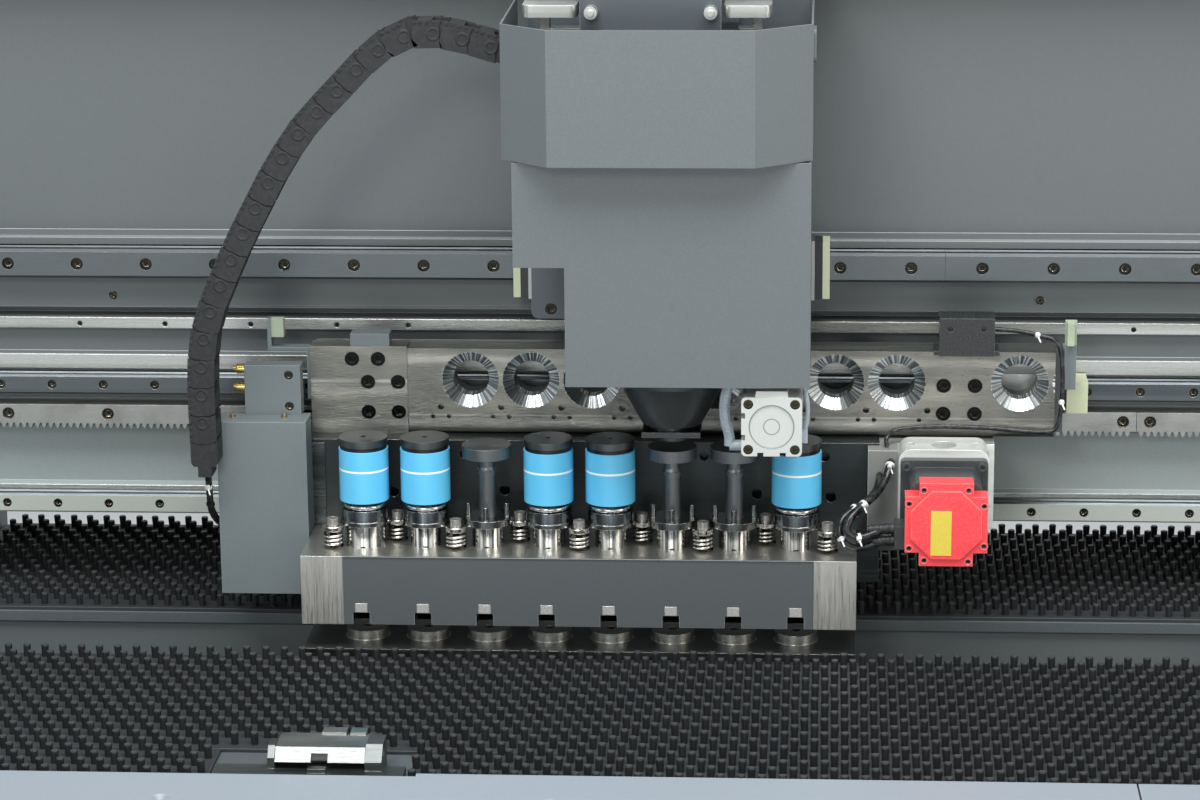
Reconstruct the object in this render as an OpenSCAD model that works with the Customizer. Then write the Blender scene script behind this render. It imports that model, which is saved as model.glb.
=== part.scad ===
// Working zone of a punching machine: a crossbeam carries a carriage with eight punching tools in a row
// and a ram head that picks one of them. X runs along the beam, Y away from the front, Z up.
// The origin lies on the floor, under the middle of the machine.

/* [Machine] */
// Width over both side frames
machine_w = 1760; // [1720:10:1800]
// Depth of the bed, front panel to back
machine_d = 1060; // [1060:1:1060]
// Width of one side frame
side_w = 120; // [100:5:140]
// Height of the bristle tips, where the sheet metal runs
pass_z = 850; // [845:1:855]
// Height of the top of the crossbeam
beam_top = 1640; // [1636:1:1660]
// Height of the underside of the crossbeam
beam_bottom = 923; // [920:1:925]
// Distance of the guide rails' faces behind the middle of the bed
rail_y = 240; // [240:1:240]
// Plate thickness of the welded frames
plate_t = 14; // [10:1:18]

/* [Guide rails] */
// Width of the head's guide rail
large_rail_w = 34; // [34:1:34]
// Height of the head's guide rail
large_rail_h = 29; // [29:1:29]
// Screw pitch of the head's guide rail
large_rail_pitch = 80; // [80:1:80]
// Width of the carriage's guide rail
small_rail_w = 23; // [23:1:23]
// Height of the carriage's guide rail
small_rail_h = 23; // [23:1:23]
// Screw pitch of the carriage's guide rail
small_rail_pitch = 60; // [60:1:60]
// Height of the head's lower rail
head_rail_z = 1225; // [1225:1:1225]
// Distance of the head's upper rail below the top of the beam
head_rail_drop = 43; // [40:1:46]
// Height of the carriage's upper rail
carriage_rail_z = 1082; // [1082:1:1082]
// Height of the carriage's lower rail
carriage_rail_low_z = 939; // [939:1:939]
// Gap between a guide block and its rail
rail_gap = 0.25; // [0.2:0.05:0.4]
// Length of a large guide block
large_block_l = 105; // [95:1:110]
// Length of a small guide block
small_block_l = 84; // [80:1:90]

/* [Rack and pinion] */
// Module of the teeth
gear_module = 2.5; // [2.5:0.5:2.5]
// Teeth on the pinion
pinion_teeth = 30; // [30:1:30]
// Height of the rack's pitch line
rack_pitch_z = 1032.5; // [1032:0.5:1033]
// Height of the rack above its pitch line
rack_body_h = 25.5; // [24:0.5:26]
// Width of the toothed face
rack_face_w = 24; // [22:1:24]
// Play between the teeth
backlash = 0.24; // [0.2:0.02:0.4]
// Distance of the motor to the right of the middle
motor_x = 396.5; // [396:0.5:397]

/* [Tools] */
// Number of tool stations
stations = 8; // [8:1:8]
// Distance between tool stations
tool_pitch = 68.5; // [68:0.5:69]
// Middle of the tool row
row_x = -5.5; // [-6:0.5:-5]
// Distance of the tool axes behind the middle of the bed
tool_y = 75; // [75:1:75]
// Length of the tool bar
bar_l = 612; // [608:1:616]
// Depth of the tool bar
bar_d = 120; // [118:1:122]
// Height of the tool bar
bar_h = 78.5; // [78:0.5:79]
// Gap between the tool bar and the sheet
bar_gap = 16.5; // [16:0.5:17]
// Diameter of a tool guide
guide_d = 35; // [34:0.5:36]
// Diameter of the wide tool guide at the first station
wide_guide_d = 45; // [44:0.5:46]
// Clearance of a sliding fit, across the diameter
slide_fit = 0.1; // [0.05:0.01:0.16]
// Diameter of a guide's flange
flange_d = 54; // [52:1:56]
// Height of the flange's underside above the bar
flange_lift = 25; // [24:0.5:26]
// Diameter of the blue sleeve
sleeve_d = 55; // [54:0.5:56]
// Height of the blue sleeve
sleeve_h = 58.5; // [56:0.5:60]
// Diameter of a tool's head disc
disc_d = 54; // [52:1:56]
// Diameter of a slender punch's shaft
shaft_d = 19; // [18:0.5:20]
// Diameter of a sleeved punch's shaft
body_d = 24; // [22:0.5:26]
// Diameter of a punching point
point_d = 10; // [6:0.5:12]
// Distance of a lifter to the front or back of the tool axes
lifter_y = 15; // [14:0.5:16]

/* [Ram head] */
// Distance of the ram to the right of the middle
ram_x = 97.25; // [97.25:0.25:97.25]
// Diameter of the ram
ram_d = 50; // [46:1:54]
// Height of the ram's striking face
ram_z = 1070.5; // [1070:0.5:1072]
// Distance of the lock pin to the right of the ram
pin_offset = 110.75; // [110.75:0.25:110.75]
// Diameter of the lock pin
pin_d = 40; // [38:0.5:40]
// Side of the square lock cylinder
cylinder_side = 65; // [64:0.5:66]
// Thickness of the sheet-metal covers
sheet_t = 2; // [1.5:0.5:3]

/* [Hidden] */
$fn = 48;
eps = 0.01;

paint = "#7d8890";
pale_paint = "#aab4be";
steel = "#a9a49a";
dark_steel = "#3b3e40";
black = "#232527";

half_w = machine_w / 2;
side_x = half_w - side_w;
bed_top = 820;
head_rail_top_z = beam_top - head_rail_drop;
back_y = machine_d / 2;
front_y = -machine_d / 2;
rail_end = side_x - 5;
small_seat_y = rail_y + small_rail_h;
large_seat_y = rail_y + large_rail_h;

bar_bottom = pass_z + bar_gap;
bar_top = bar_bottom + bar_h;
bar_front = tool_y - 53;
bar_back = bar_front + bar_d;
bar_x0 = row_x - bar_l / 2;
bar_x1 = row_x + bar_l / 2;
flange_z = bar_top + flange_lift;
collar_top = flange_z + 17.5;
sleeve_z = flange_z + 27;
sleeve_top = sleeve_z + sleeve_h;
slender_disc_z = flange_z + 77;
slender_stations = [3, 6, 7];

plate_back = rail_y - 13;
plate_front = plate_back - 29;
lock_front = plate_front - 28;
lock_z = 1109;
lock_d = pin_d + 0.6;
lock_chamfer_d = 64;
pin_x = ram_x + pin_offset;
pinion_r = gear_module * pinion_teeth / 2;
motor_z = rack_pitch_z - pinion_r;
head_x0 = -66;
head_x1 = 248;
head_plate_back = large_seat_y - 48;
head_plate_front = head_plate_back - 40;

function tool_x(k) = row_x + (k - (stations + 1) / 2) * tool_pitch;
function lock_x(k) = tool_x(k) + pin_offset;
function is_slender(k) = len([for (s = slender_stations) if (s == k) s]) > 0;
function barrel_d(k) = k == 1 ? wide_guide_d : guide_d;

// A block between two corners, each given as a range along its axis
module block(x, y, z) {
    translate([x[0], y[0], z[0]]) cube([x[1] - x[0], y[1] - y[0], z[1] - z[0]]);
}

// Extrudes a section drawn in Y and Z along X
module along_x(x) {
    translate([x[0], 0, 0]) rotate([90, 0, 90]) linear_extrude(x[1] - x[0]) children();
}

// Extrudes a section drawn in X and Z along Y
module along_y(y) {
    translate([0, y[1], 0]) rotate([90, 0, 0]) linear_extrude(y[1] - y[0]) children();
}

// Extrudes a section drawn in X and Y along Z
module along_z(z) {
    translate([0, 0, z[0]]) linear_extrude(z[1] - z[0]) children();
}

module rod_x(y, z, d, x) {
    translate([x[0], y, z]) rotate([0, 90, 0]) cylinder(h = x[1] - x[0], d = d);
}

module rod_y(x, z, d, y) {
    translate([x, y[1], z]) rotate([90, 0, 0]) cylinder(h = y[1] - y[0], d = d);
}

module rod_z(x, y, d, z) {
    translate([x, y, z[0]]) cylinder(h = z[1] - z[0], d = d);
}

// Rounded rectangle between two corners
module rounded(a, b, r) {
    translate([a[0] + r, a[1]]) square([b[0] - a[0] - 2 * r, b[1] - a[1]]);
    translate([a[0], a[1] + r]) square([b[0] - a[0], b[1] - a[1] - 2 * r]);
    for (u = [a[0] + r, b[0] - r], v = [a[1] + r, b[1] - r]) translate([u, v]) circle(r);
}

// Socket head screw, head up, with the top of its head at the origin
module socket_screw(d, shank) {
    difference() {
        translate([0, 0, -d]) cylinder(h = d, d = 1.6 * d);
        translate([0, 0, -0.6 * d]) cylinder(h = d, d = 0.95 * d, $fn = 6);
    }
    translate([0, 0, -d - shank]) cylinder(h = shank, d = d);
}

module screw_to_front(x, y, z, d, shank) {
    translate([x, y, z]) rotate([90, 0, 0]) socket_screw(d, shank);
}

// Round tube swept through points; the ring's frame is carried along the route
function unit(v) = v / norm(v);
function tangent(p, i) = unit(p[min(i + 1, len(p) - 1)] - p[max(i - 1, 0)]);
function square_to(n, t) = unit(n - (n * t) * t);
function ring_normals(p) = [for (i = 0, n = square_to([0.3, 0.9, 0.2], tangent(p, 0)); i < len(p);
    i = i + 1, n = square_to(n, tangent(p, min(i, len(p) - 1)))) n];
module tube(p, d, sides = 8) {
    normals = ring_normals(p);
    ring = [for (i = [0 : len(p) - 1]) let (n = normals[i], m = cross(tangent(p, i), n))
        for (j = [0 : sides - 1]) p[i] + d / 2 * (cos(360 * j / sides) * n + sin(360 * j / sides) * m)];
    last = (len(p) - 1) * sides;
    walls = [for (i = [0 : len(p) - 2], j = [0 : sides - 1]) let (k = (j + 1) % sides)
        [(i + 1) * sides + j, (i + 1) * sides + k, i * sides + k, i * sides + j]];
    caps = [[for (j = [0 : sides - 1]) j], [for (j = [0 : sides - 1]) last + sides - 1 - j]];
    polyhedron(ring, concat(walls, caps));
}

// Smooth curve through hand-set points, with a number of steps between each pair
function curve_point(a, b, c, d, t) =
    0.5 * (2 * b + (c - a) * t + (2 * a - 5 * b + 4 * c - d) * t * t + (3 * b - a - 3 * c + d) * t * t * t);
function curve(p, steps) = concat(
    [for (i = [0 : len(p) - 2], s = [0 : steps - 1])
        curve_point(p[max(i - 1, 0)], p[i], p[i + 1], p[min(i + 2, len(p) - 1)], s / steps)],
    [p[len(p) - 1]]);

// Bed and side frames

foot_d = 90;
foot_gap = 60;
foot_places = [-440, 0, 470];
stud_d = 23.6;
panel_t = 12;
bed_front = front_y + panel_t;

module side_frame() {
    column_front = small_seat_y;
    difference() {
        block([side_x, half_w], [bed_front, back_y], [foot_gap, bed_top]);
        block([side_x + plate_t, half_w - plate_t], [bed_front + plate_t, back_y - plate_t],
            [foot_gap + plate_t, bed_top - plate_t]);
        for (y = foot_places)
            rod_z(half_w - side_w / 2, y, stud_d + 0.4, [foot_gap - 1, foot_gap + plate_t + 1]);
    }
    difference() {
        block([side_x, half_w], [column_front, back_y], [bed_top, beam_top]);
        block([side_x + plate_t, half_w - plate_t], [column_front + plate_t, back_y - plate_t],
            [bed_top + plate_t, beam_top - plate_t]);
    }
}

module side_frames() {
    color(paint) {
        side_frame();
        mirror([1, 0, 0]) side_frame();
    }
}

module levelling_feet() {
    pad_h = 14;
    nut_h = 18;
    color(dark_steel)
    for (side = [-1, 1], y = foot_places) translate([side * (half_w - side_w / 2), y, 0]) {
        cylinder(h = pad_h, d = foot_d);
        translate([0, 0, pad_h]) cylinder(h = foot_gap - pad_h - nut_h, d = stud_d);
        translate([0, 0, foot_gap - nut_h]) cylinder(h = nut_h, d = 42, $fn = 6);
        translate([0, 0, foot_gap - 1]) cylinder(h = plate_t + 20, d = stud_d);
    }
}

// Box beams between the side frames: [y from, y to, z from, z to, wall]
beam_z = [bed_top - 120, bed_top];
die_seat_z = 640;
module box_beam(y, z, wall) {
    difference() {
        block([-side_x, side_x], y, z);
        block([-side_x - 1, side_x + 1], [y[0] + wall, y[1] - wall], [z[0] + wall, z[1] - wall]);
    }
}

module cross_members() {
    tie_z = [80, 200];
    wall = 8;
    color(paint) {
        for (y = [[-455, -395], [-66, -6], [168, 228], [440, 500]]) box_beam(y, beam_z, wall);
        box_beam([10, 154], [die_seat_z - 90, die_seat_z], wall);
        for (y = [[-470, -390], [400, 480]]) box_beam(y, tie_z, wall);
    }
}

// Table: two plates with a slot between them for the die bar
table_t = 12;
table_z = bed_top + table_t;
table_front = -455;
slot_front = 2;
slot_back = 162;
brush_front = -394;
brush_back = 500;
module table_plates() {
    color(pale_paint) {
        block([-side_x + 2, side_x - 2], [table_front, slot_front], [bed_top, table_z]);
        block([-side_x + 2, side_x - 2], [slot_back, brush_back + 6], [bed_top, table_z]);
    }
}

// Brush fields: a board with rows of bristle bundles, drawn here as one bar a row
bundle_d = 8.5;
bundle_row = 20.8;
board_t = 4;
clamp_pocket = [[-350, -148], [-400, -294]];
module brush_field(y0, rows) {
    field_x = side_x - 12;
    y1 = y0 + rows * bundle_row;
    block([-field_x, field_x], [y0, y1], [table_z, table_z + board_t]);
    for (i = [0 : rows - 1]) let (y = y0 + (i + 0.5) * bundle_row)
        block([-field_x, field_x], [y - bundle_d / 2, y + bundle_d / 2], [table_z + board_t - 1, pass_z]);
}
front_rows = 19;
back_rows = 16;
module brush_fields() {
    color(black) {
        difference() {
            brush_field(brush_front, front_rows);
            block(clamp_pocket[0], clamp_pocket[1], [table_z - 1, pass_z + 1]);
        }
        brush_field(slot_back + 4, back_rows);
    }
}

// Pale plates in front of the brushes, with a butt seam, over a plain front panel
apron_seam_x = 572;
apron_seam = 2;
apron_edge = -402.5;
apron_edge_right = -394.5;
apron_step_x = -137;
module front_apron() {
    panel_z = 300;
    screw_pitch = 380;
    screw_y = -469;
    color(pale_paint) difference() {
        union() {
            for (x = [[-half_w, apron_seam_x], [apron_seam_x + apron_seam, half_w]]) {
                block(x, [front_y, apron_edge], [table_z + eps, pass_z]);
                block(x, [front_y, front_y + panel_t], [panel_z, pass_z]);
                block(x, [front_y, table_front - 1], [bed_top + 1, bed_top + 20]);
            }
            for (x = [[apron_step_x, apron_seam_x], [apron_seam_x + apron_seam, half_w]])
                block(x, [apron_edge - 1, apron_edge_right], [table_z + eps, pass_z]);
        }
        for (i = [-2 : 1])
            translate([i * screw_pitch, screw_y, pass_z - 5]) cylinder(h = 6, d1 = 8, d2 = 19);
    }
}

trim_screws = [-557.5, 508];
trim_screw_z = 1183;
// Crossbeam: one extruded section with its rail seats, ribs and slot, hollow inside in cells
module crossbeam() {
    painted_y = 268;
    rack_seat_y = rail_y + rack_face_w;
    rib_y = 258;
    strip_y = 264;
    slot_y = 288;
    panel_y = 300;
    beam_back = back_y - 10;
    low_seat = carriage_rail_low_z + small_rail_w / 2 + 4.5;
    rack_low = rack_pitch_z - 2.5;
    rack_high = rack_pitch_z + rack_body_h + 2;
    seat_top = carriage_rail_z + small_rail_w / 2 + 1.5;
    rib_z = [seat_top + 2, seat_top + 19];
    ledge_z = [seat_top + 50, seat_top + 63];
    head_seat = [head_rail_z - large_rail_w / 2 - 1, head_rail_z + large_rail_w / 2];
    lip = head_seat[1] + 11;
    panel_top = head_rail_top_z - large_rail_w / 2 - 24;
    section = [
        [small_seat_y, beam_bottom], [small_seat_y, low_seat], [painted_y, low_seat + 4],
        [painted_y, rack_low - 4], [rack_seat_y, rack_low], [rack_seat_y, rack_high],
        [small_seat_y, rack_high], [small_seat_y, seat_top], [rib_y, rib_z[0]], [rib_y, rib_z[1]],
        [painted_y, rib_z[1] + 2], [painted_y, ledge_z[0] - 2], [rib_y, ledge_z[0]], [rib_y, ledge_z[1]],
        [slot_y, ledge_z[1]], [slot_y, ledge_z[1] + 10], [strip_y, ledge_z[1] + 11],
        [strip_y, head_seat[0] - 1], [large_seat_y, head_seat[0]], [large_seat_y, head_seat[1]],
        [strip_y, head_seat[1] + 1], [strip_y, lip - 2], [strip_y + 2, lip], [panel_y, lip],
        [panel_y, panel_top], [large_seat_y, panel_top + 4], [large_seat_y, beam_top - 4],
        [large_seat_y + 4, beam_top], [beam_back, beam_top], [beam_back, beam_bottom]];
    web = 10;
    middle = (lip + panel_top) / 2;
    cell_y = [[panel_y + web, 405], [405 + web, beam_back - plate_t]];
    cell_z = [[beam_bottom + plate_t, carriage_rail_z - 2], [carriage_rail_z + web - 2, lip - plate_t],
        [lip + web, middle - web / 2], [middle + web / 2, panel_top - plate_t]];
    color(paint) difference() {
        along_x([-side_x, side_x]) polygon(section);
        for (y = cell_y, z = cell_z) block([-side_x + plate_t, side_x - plate_t], y, z);
        for (x = [-596.5, -497, -397, -297, -214.5, 614])
            rod_y(x, ledge_z[1] - 7.5, 6, [rib_y - 1, rib_y + 12]);
        for (x = trim_screws) rod_y(x, trim_screw_z, 1.75 * small_screw, [strip_y - 1, strip_y + 14]);
    }
}

// Guide rail: its section has a waist where the balls run
module rail_section(w, h) {
    c = 0.09 * w;
    polygon([[0, c - w / 2], [0, w / 2 - c], [c, w / 2], [0.4 * h, w / 2], [0.5 * h, w / 2 - c],
        [0.64 * h, w / 2 - c], [0.72 * h, w / 2], [h, w / 2], [h, -w / 2], [0.72 * h, -w / 2],
        [0.64 * h, c - w / 2], [0.5 * h, c - w / 2], [0.4 * h, -w / 2], [c, -w / 2]]);
}

// Screw places along one rail length, counted from a place where one screw sits
function screw_places(x, known, pitch) = [for (i = [ceil((x[0] + 15 - known) / pitch)
    : floor((x[1] - 15 - known) / pitch)]) known + i * pitch];

module rail_length(x, z, w, h, pitch, known, screw_d) {
    difference() {
        translate([0, rail_y, z]) along_x(x) rail_section(w, h);
        for (sx = screw_places(x, known, pitch)) {
            rod_y(sx, z, 1.75 * screw_d, [rail_y - 1, rail_y + 1.4 * screw_d]);
            rod_y(sx, z, 1.12 * screw_d, [rail_y, rail_y + h + 1]);
        }
    }
}

large_screw = 8;
small_screw = 6;
rail_joint_x = 399;
joint_gap = 0.3;
large_lengths = [[[-rail_end, 90], -673], [[90 + joint_gap, rail_joint_x], 280.8],
    [[rail_joint_x + joint_gap, rail_end], 280.8]];
small_lengths = [[[-rail_end, 40], -688.5], [[40 + joint_gap, rail_end], 682]];
module head_rails() {
    color(steel) for (z = [head_rail_z, head_rail_top_z], r = large_lengths)
        rail_length(r[0], z, large_rail_w, large_rail_h, large_rail_pitch, r[1], large_screw);
}

die_rail_y = [44, 120];
module carriage_rails() {
    color(steel) {
        for (z = [carriage_rail_z, carriage_rail_low_z], r = small_lengths)
            rail_length(r[0], z, small_rail_w, small_rail_h, small_rail_pitch, r[1], small_screw);
        for (y = die_rail_y) translate([0, y, die_seat_z + small_rail_h + rail_y]) rotate([-90, 0, 0])
            rail_length([-rail_end, rail_end], 0, small_rail_w, small_rail_h, small_rail_pitch, 0,
                small_screw);
    }
}

rack_screws_left = [for (i = [0 : 11]) -681.4 + 116.8 * i];
rack_joint_x = 618.5;
rack_screws_right = [634, 735];
rack_screw_z = rack_pitch_z + 14.5;
module rail_screws() {
    color(dark_steel) {
        for (z = [head_rail_z, head_rail_top_z], r = large_lengths,
             x = screw_places(r[0], r[1], large_rail_pitch))
            screw_to_front(x, rail_y + 0.4 * large_screw, z, large_screw, large_rail_h - 1.4 * large_screw);
        for (z = [carriage_rail_z, carriage_rail_low_z], r = small_lengths,
             x = screw_places(r[0], r[1], small_rail_pitch))
            screw_to_front(x, rail_y + 0.4 * small_screw, z, small_screw, small_rail_h - 1.4 * small_screw);
        for (x = concat(rack_screws_left, rack_screws_right))
            screw_to_front(x, rail_y + 2.6, rack_screw_z, large_screw, rack_face_w - 2.6 - large_screw);
        for (x = trim_screws) screw_to_front(x, rail_y + 22, trim_screw_z, small_screw, 8);
    }
}

// Rack teeth point down: straight flanks at 20 degrees, one tooth centred over the pinion
function rack_tooth(x) = let (half = PI * gear_module / 4 - backlash / 4, lean = tan(20)) [
    [x - half - 1.25 * gear_module * lean, rack_pitch_z + 1.25 * gear_module],
    [x - half + gear_module * lean, rack_pitch_z - gear_module],
    [x + half - gear_module * lean, rack_pitch_z - gear_module],
    [x + half + 1.25 * gear_module * lean, rack_pitch_z + 1.25 * gear_module]];
module rack_length(x, screws) {
    circular = PI * gear_module;
    first = ceil((x[0] + circular / 2 - motor_x) / circular);
    last = floor((x[1] - circular / 2 - motor_x) / circular);
    difference() {
        along_y([rail_y, rail_y + rack_face_w]) polygon(concat(
            [[x[0], rack_pitch_z + 1.25 * gear_module]],
            [for (i = [first : last], p = rack_tooth(motor_x + i * circular)) p],
            [[x[1], rack_pitch_z + 1.25 * gear_module], [x[1], rack_pitch_z + rack_body_h],
             [x[0], rack_pitch_z + rack_body_h]]));
        for (sx = screws) {
            rod_y(sx, rack_screw_z, 14, [rail_y - 1, rail_y + 2.6 + large_screw]);
            rod_y(sx, rack_screw_z, 9, [rail_y, rail_y + rack_face_w + 1]);
        }
    }
}
module gear_rack() {
    color(steel) {
        rack_length([-rail_end, rack_joint_x], rack_screws_left);
        rack_length([rack_joint_x + 0.5, rail_end], rack_screws_right);
    }
}

// Work clamp at the front edge: base, lower jaw, two cheeks and a hinged upper jaw
clamp_x = [-284, -193];
clamp_mid = (clamp_x[0] + clamp_x[1]) / 2;
jaw_pivot_y = -346;
jaw_pivot_z = 854;
jaw_pin_d = 8;
jaw_tip_y = -298;
cheek_gap = 0.4;
left_cheek_t = 7;
right_cheek_t = 17;
module clamp_body() {
    base_top = 841;
    color(dark_steel) {
        along_z([table_z, base_top])
            polygon([[-345, -391], [-161, -391], [-153, -383], [-153, -350], [-345, -350]]);
        block(clamp_x, [-350 - eps, jaw_tip_y], [table_z, base_top - 2]);
        block(clamp_x, [-338, jaw_tip_y], [table_z, pass_z - 0.5]);
        block([clamp_mid - 11, clamp_mid + 7], [-374, -364], [base_top - 1, base_top + 4]);
    }
    color(pale_paint) difference() {
        union() {
            along_x([clamp_x[0] - cheek_gap - left_cheek_t, clamp_x[0] - cheek_gap])
                polygon([[-362, table_z], [-362, 852], [-352, 862], [-332, 862], [-332, table_z]]);
            along_x([clamp_x[1] + cheek_gap, clamp_x[1] + cheek_gap + right_cheek_t])
                polygon([[-366, table_z], [-366, 850], [-350, 864], [-322, 864], [-322, table_z]]);
        }
        rod_x(jaw_pivot_y, jaw_pivot_z, jaw_pin_d + slide_fit, [clamp_x[0] - 20, clamp_x[1] + 30]);
    }
}

module clamp_jaw() {
    jaw_top = 861;
    jaw_low = 848;
    color(steel) {
        difference() {
            along_x(clamp_x) polygon([[-363, jaw_low], [-353, jaw_top], [-318, jaw_top], [jaw_tip_y, 856],
                [jaw_tip_y, pass_z + 0.3], [-340, pass_z + 0.3], [-343, jaw_low]]);
            block([clamp_mid - 9, clamp_mid + 8], [-370, -357], [jaw_low - 1, jaw_top - 4]);
            rod_x(jaw_pivot_y, jaw_pivot_z, jaw_pin_d, [clamp_x[0] - 1, clamp_x[1] + 1]);
        }
        rod_x(jaw_pivot_y, jaw_pivot_z, jaw_pin_d, [clamp_x[0] - left_cheek_t, clamp_x[1] + right_cheek_t]);
    }
    color(black) for (x = [[-242, -217], [-213, -197]]) block(x, [-316, -300], [jaw_top - 4, jaw_top + 2]);
}

// Tool carriage

carriage_left = -316;
carriage_right = 521;
lock_bar_x0 = -206;
lock_bar_z = [1046, 1145];
back_plate_z = [884, 1046];
back_plate_x = [-315, 326];
holder_front = bar_back;
spare_lock_x = lock_x(stations + 2);
carriage_screw_d = 10;
left_screws = [[-268.5, 1132.3], [-239, 1132.3], [-251, 1105.7], [-216.7, 1105.7], [-251, 1070.6],
    [-216.7, 1070.6]];
right_screws = [[397, 1106], [432, 1106], [397, 1073.6], [432, 1073.6]];
small_blocks = [[-240, carriage_rail_z], [490, carriage_rail_z], [-240, carriage_rail_low_z],
    [290, carriage_rail_low_z]];

module carriage_plate() {
    outline = [[carriage_left, back_plate_z[0] + 20], [300 + small_block_l / 2, back_plate_z[0] + 20],
        [454, 945], [454, lock_bar_z[0]], [carriage_right + 11, lock_bar_z[0]],
        [carriage_right + 11, lock_bar_z[1] - 3], [carriage_left, lock_bar_z[1] - 3]];
    color(dark_steel) difference() {
        along_y([plate_front, plate_back]) polygon(outline);
        rod_y(motor_x, motor_z, 64, [plate_front - 1, plate_back + 1]);
        for (k = [1 : stations]) rod_y(lock_x(k), lock_z, lock_d + 4, [plate_front - 1, plate_back + 1]);
        rod_y(spare_lock_x, lock_z, lock_d + 4, [plate_front - 1, plate_back + 1]);
    }
}

// One slice of a guide block, a saddle over its rail, between two places along X
module saddle(x, z, rail_w, rail_h, block_w, back, front) {
    difference() {
        block(x, [front, back], [z - block_w / 2, z + block_w / 2]);
        translate([0, rail_y - rail_gap, z - rail_w / 2 - rail_gap]) along_x([x[0] - 1, x[1] + 1])
            square([2 * rail_h, rail_w + 2 * rail_gap]);
    }
}

// Guide block: steel body, two end caps, two seals and, on a wiped block, two wiper plates
seal_t = 5;
module guide_block(x, z, l, rail_w, rail_h, block_w, back, front, wiper_t = 0) {
    cap_t = 11;
    for (side = [-1, 1]) {
        a = x + side * (l / 2 - cap_t);
        b = x + side * l / 2;
        c = x + side * (l / 2 + seal_t);
        d = x + side * (l / 2 + seal_t + wiper_t);
        if (wiper_t > 0)
            saddle([min(c, d), max(c, d)], z, rail_w, rail_h, block_w - 5, back - 1, front + 2.5);
        saddle([min(a, b), max(a, b)], z, rail_w, rail_h, block_w - 2, back - 0.5, front + 1);
        saddle([min(b, c), max(b, c)], z, rail_w, rail_h, block_w - 4, back - 1, front + 2);
    }
    saddle([x - l / 2 + cap_t, x + l / 2 - cap_t], z, rail_w, rail_h, block_w, back, front);
}

small_block_w = 48;
small_block_back = small_seat_y - 6.5;
module carriage_guide_blocks() {
    wiper_l = 24;
    wiper_x = small_blocks[1][0] + small_block_l / 2 + seal_t;
    color(steel) {
        for (b = small_blocks) guide_block(b[0], b[1], small_block_l, small_rail_w, small_rail_h,
            small_block_w, small_block_back, plate_back);
        saddle([wiper_x, wiper_x + wiper_l], carriage_rail_z, small_rail_w, small_rail_h, 36,
            small_block_back - 1, plate_back - 14);
    }
}

// Bar with the turned lock bores, and the end plate to its left
module lock_bar() {
    lip_r = 8;
    bores = concat([for (k = [1 : stations]) lock_x(k)], [spare_lock_x]);
    tapped = [for (k = [0 : stations], d = [-9, 9]) [lock_x(k) + tool_pitch / 2 + d, 1066]];
    color(steel) {
        difference() {
            union() {
                block([lock_bar_x0 + 0.3, carriage_right], [lock_front, plate_front],
                    [lock_bar_z[0] + lip_r, lock_bar_z[1]]);
                block([lock_bar_x0 + 0.3, carriage_right], [lock_front + lip_r, plate_front],
                    [lock_bar_z[0], lock_bar_z[0] + lip_r + 1]);
                rod_x(lock_front + lip_r, lock_bar_z[0] + lip_r, 2 * lip_r,
                    [lock_bar_x0 + 0.3, carriage_right]);
            }
            for (x = bores) {
                rod_y(x, lock_z, lock_d, [lock_front - 1, plate_front + 1]);
                translate([x, lock_front - eps, lock_z]) rotate([-90, 0, 0])
                    cylinder(h = (lock_chamfer_d - lock_d) / 2.4, d1 = lock_chamfer_d, d2 = lock_d);
            }
            for (s = right_screws) rod_y(s[0], s[1], 16.6, [lock_front - 1, lock_front + 12]);
            for (p = tapped) if (p[0] < 380) rod_y(p[0], p[1], 5, [lock_front - 1, lock_front + 12]);
            for (k = [0 : stations])
                rod_y(lock_x(k) + tool_pitch / 2, 1077, 6.8, [lock_front - 1, lock_front + 14]);
        }
        difference() {
            block([carriage_left, lock_bar_x0], [lock_front, plate_front],
                [lock_bar_z[0], lock_bar_z[1] + 2]);
            for (s = left_screws) rod_y(s[0], s[1], 16.6, [lock_front - 1, lock_front + 12]);
        }
    }
}

module carriage_screws() {
    color(dark_steel) for (s = concat(left_screws, right_screws))
        screw_to_front(s[0], lock_front + 1.5, s[1], carriage_screw_d, 0.5);
}

module tool_back_plate() {
    holes = [[-221, 985], [-94.8, 988], [189.3, 986.2], [272.3, 983.5]];
    color(dark_steel) difference() {
        block(back_plate_x, [holder_front, plate_front], back_plate_z);
        for (h = holes) rod_y(h[0], h[1], 12, [holder_front - 1, holder_front + 30]);
        for (x = [-270, -140, 130, 265]) rod_y(x, 1030, 11, [holder_front - 1, holder_front + 14]);
    }
}

// Tool bar: painted middle, bare ends, eight keyed bores and a notch under each key
notch_w = 18.5;
notch_h = 13.5;
key_w = 13;
key_z = [bar_bottom + 14, bar_bottom + 24];
key_tip_w = 5;
key_reach = 2.5;
module tool_bar() {
    end_l = 46.5;
    recess = 1;
    notch_d = 20;
    color(dark_steel) difference() {
        block([bar_x0, bar_x1], [bar_front, bar_back], [bar_bottom, bar_top]);
        block([bar_x0 + end_l, bar_x1 - end_l], [bar_front - 1, bar_front + recess],
            [bar_bottom - 1, bar_top - 1]);
        for (k = [1 : stations]) {
            rod_z(tool_x(k), tool_y, barrel_d(k) + slide_fit, [bar_bottom - 1, bar_top + 1]);
            block([tool_x(k) - notch_w / 2, tool_x(k) + notch_w / 2], [bar_front - 1, bar_front + notch_d],
                [bar_bottom - 1, bar_bottom + notch_h]);
            block([tool_x(k) - key_w / 2 - 0.1, tool_x(k) + key_w / 2 + 0.1], [bar_front - 1, tool_y],
                [key_z[0], key_z[1] + 0.2]);
        }
    }
}

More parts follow.
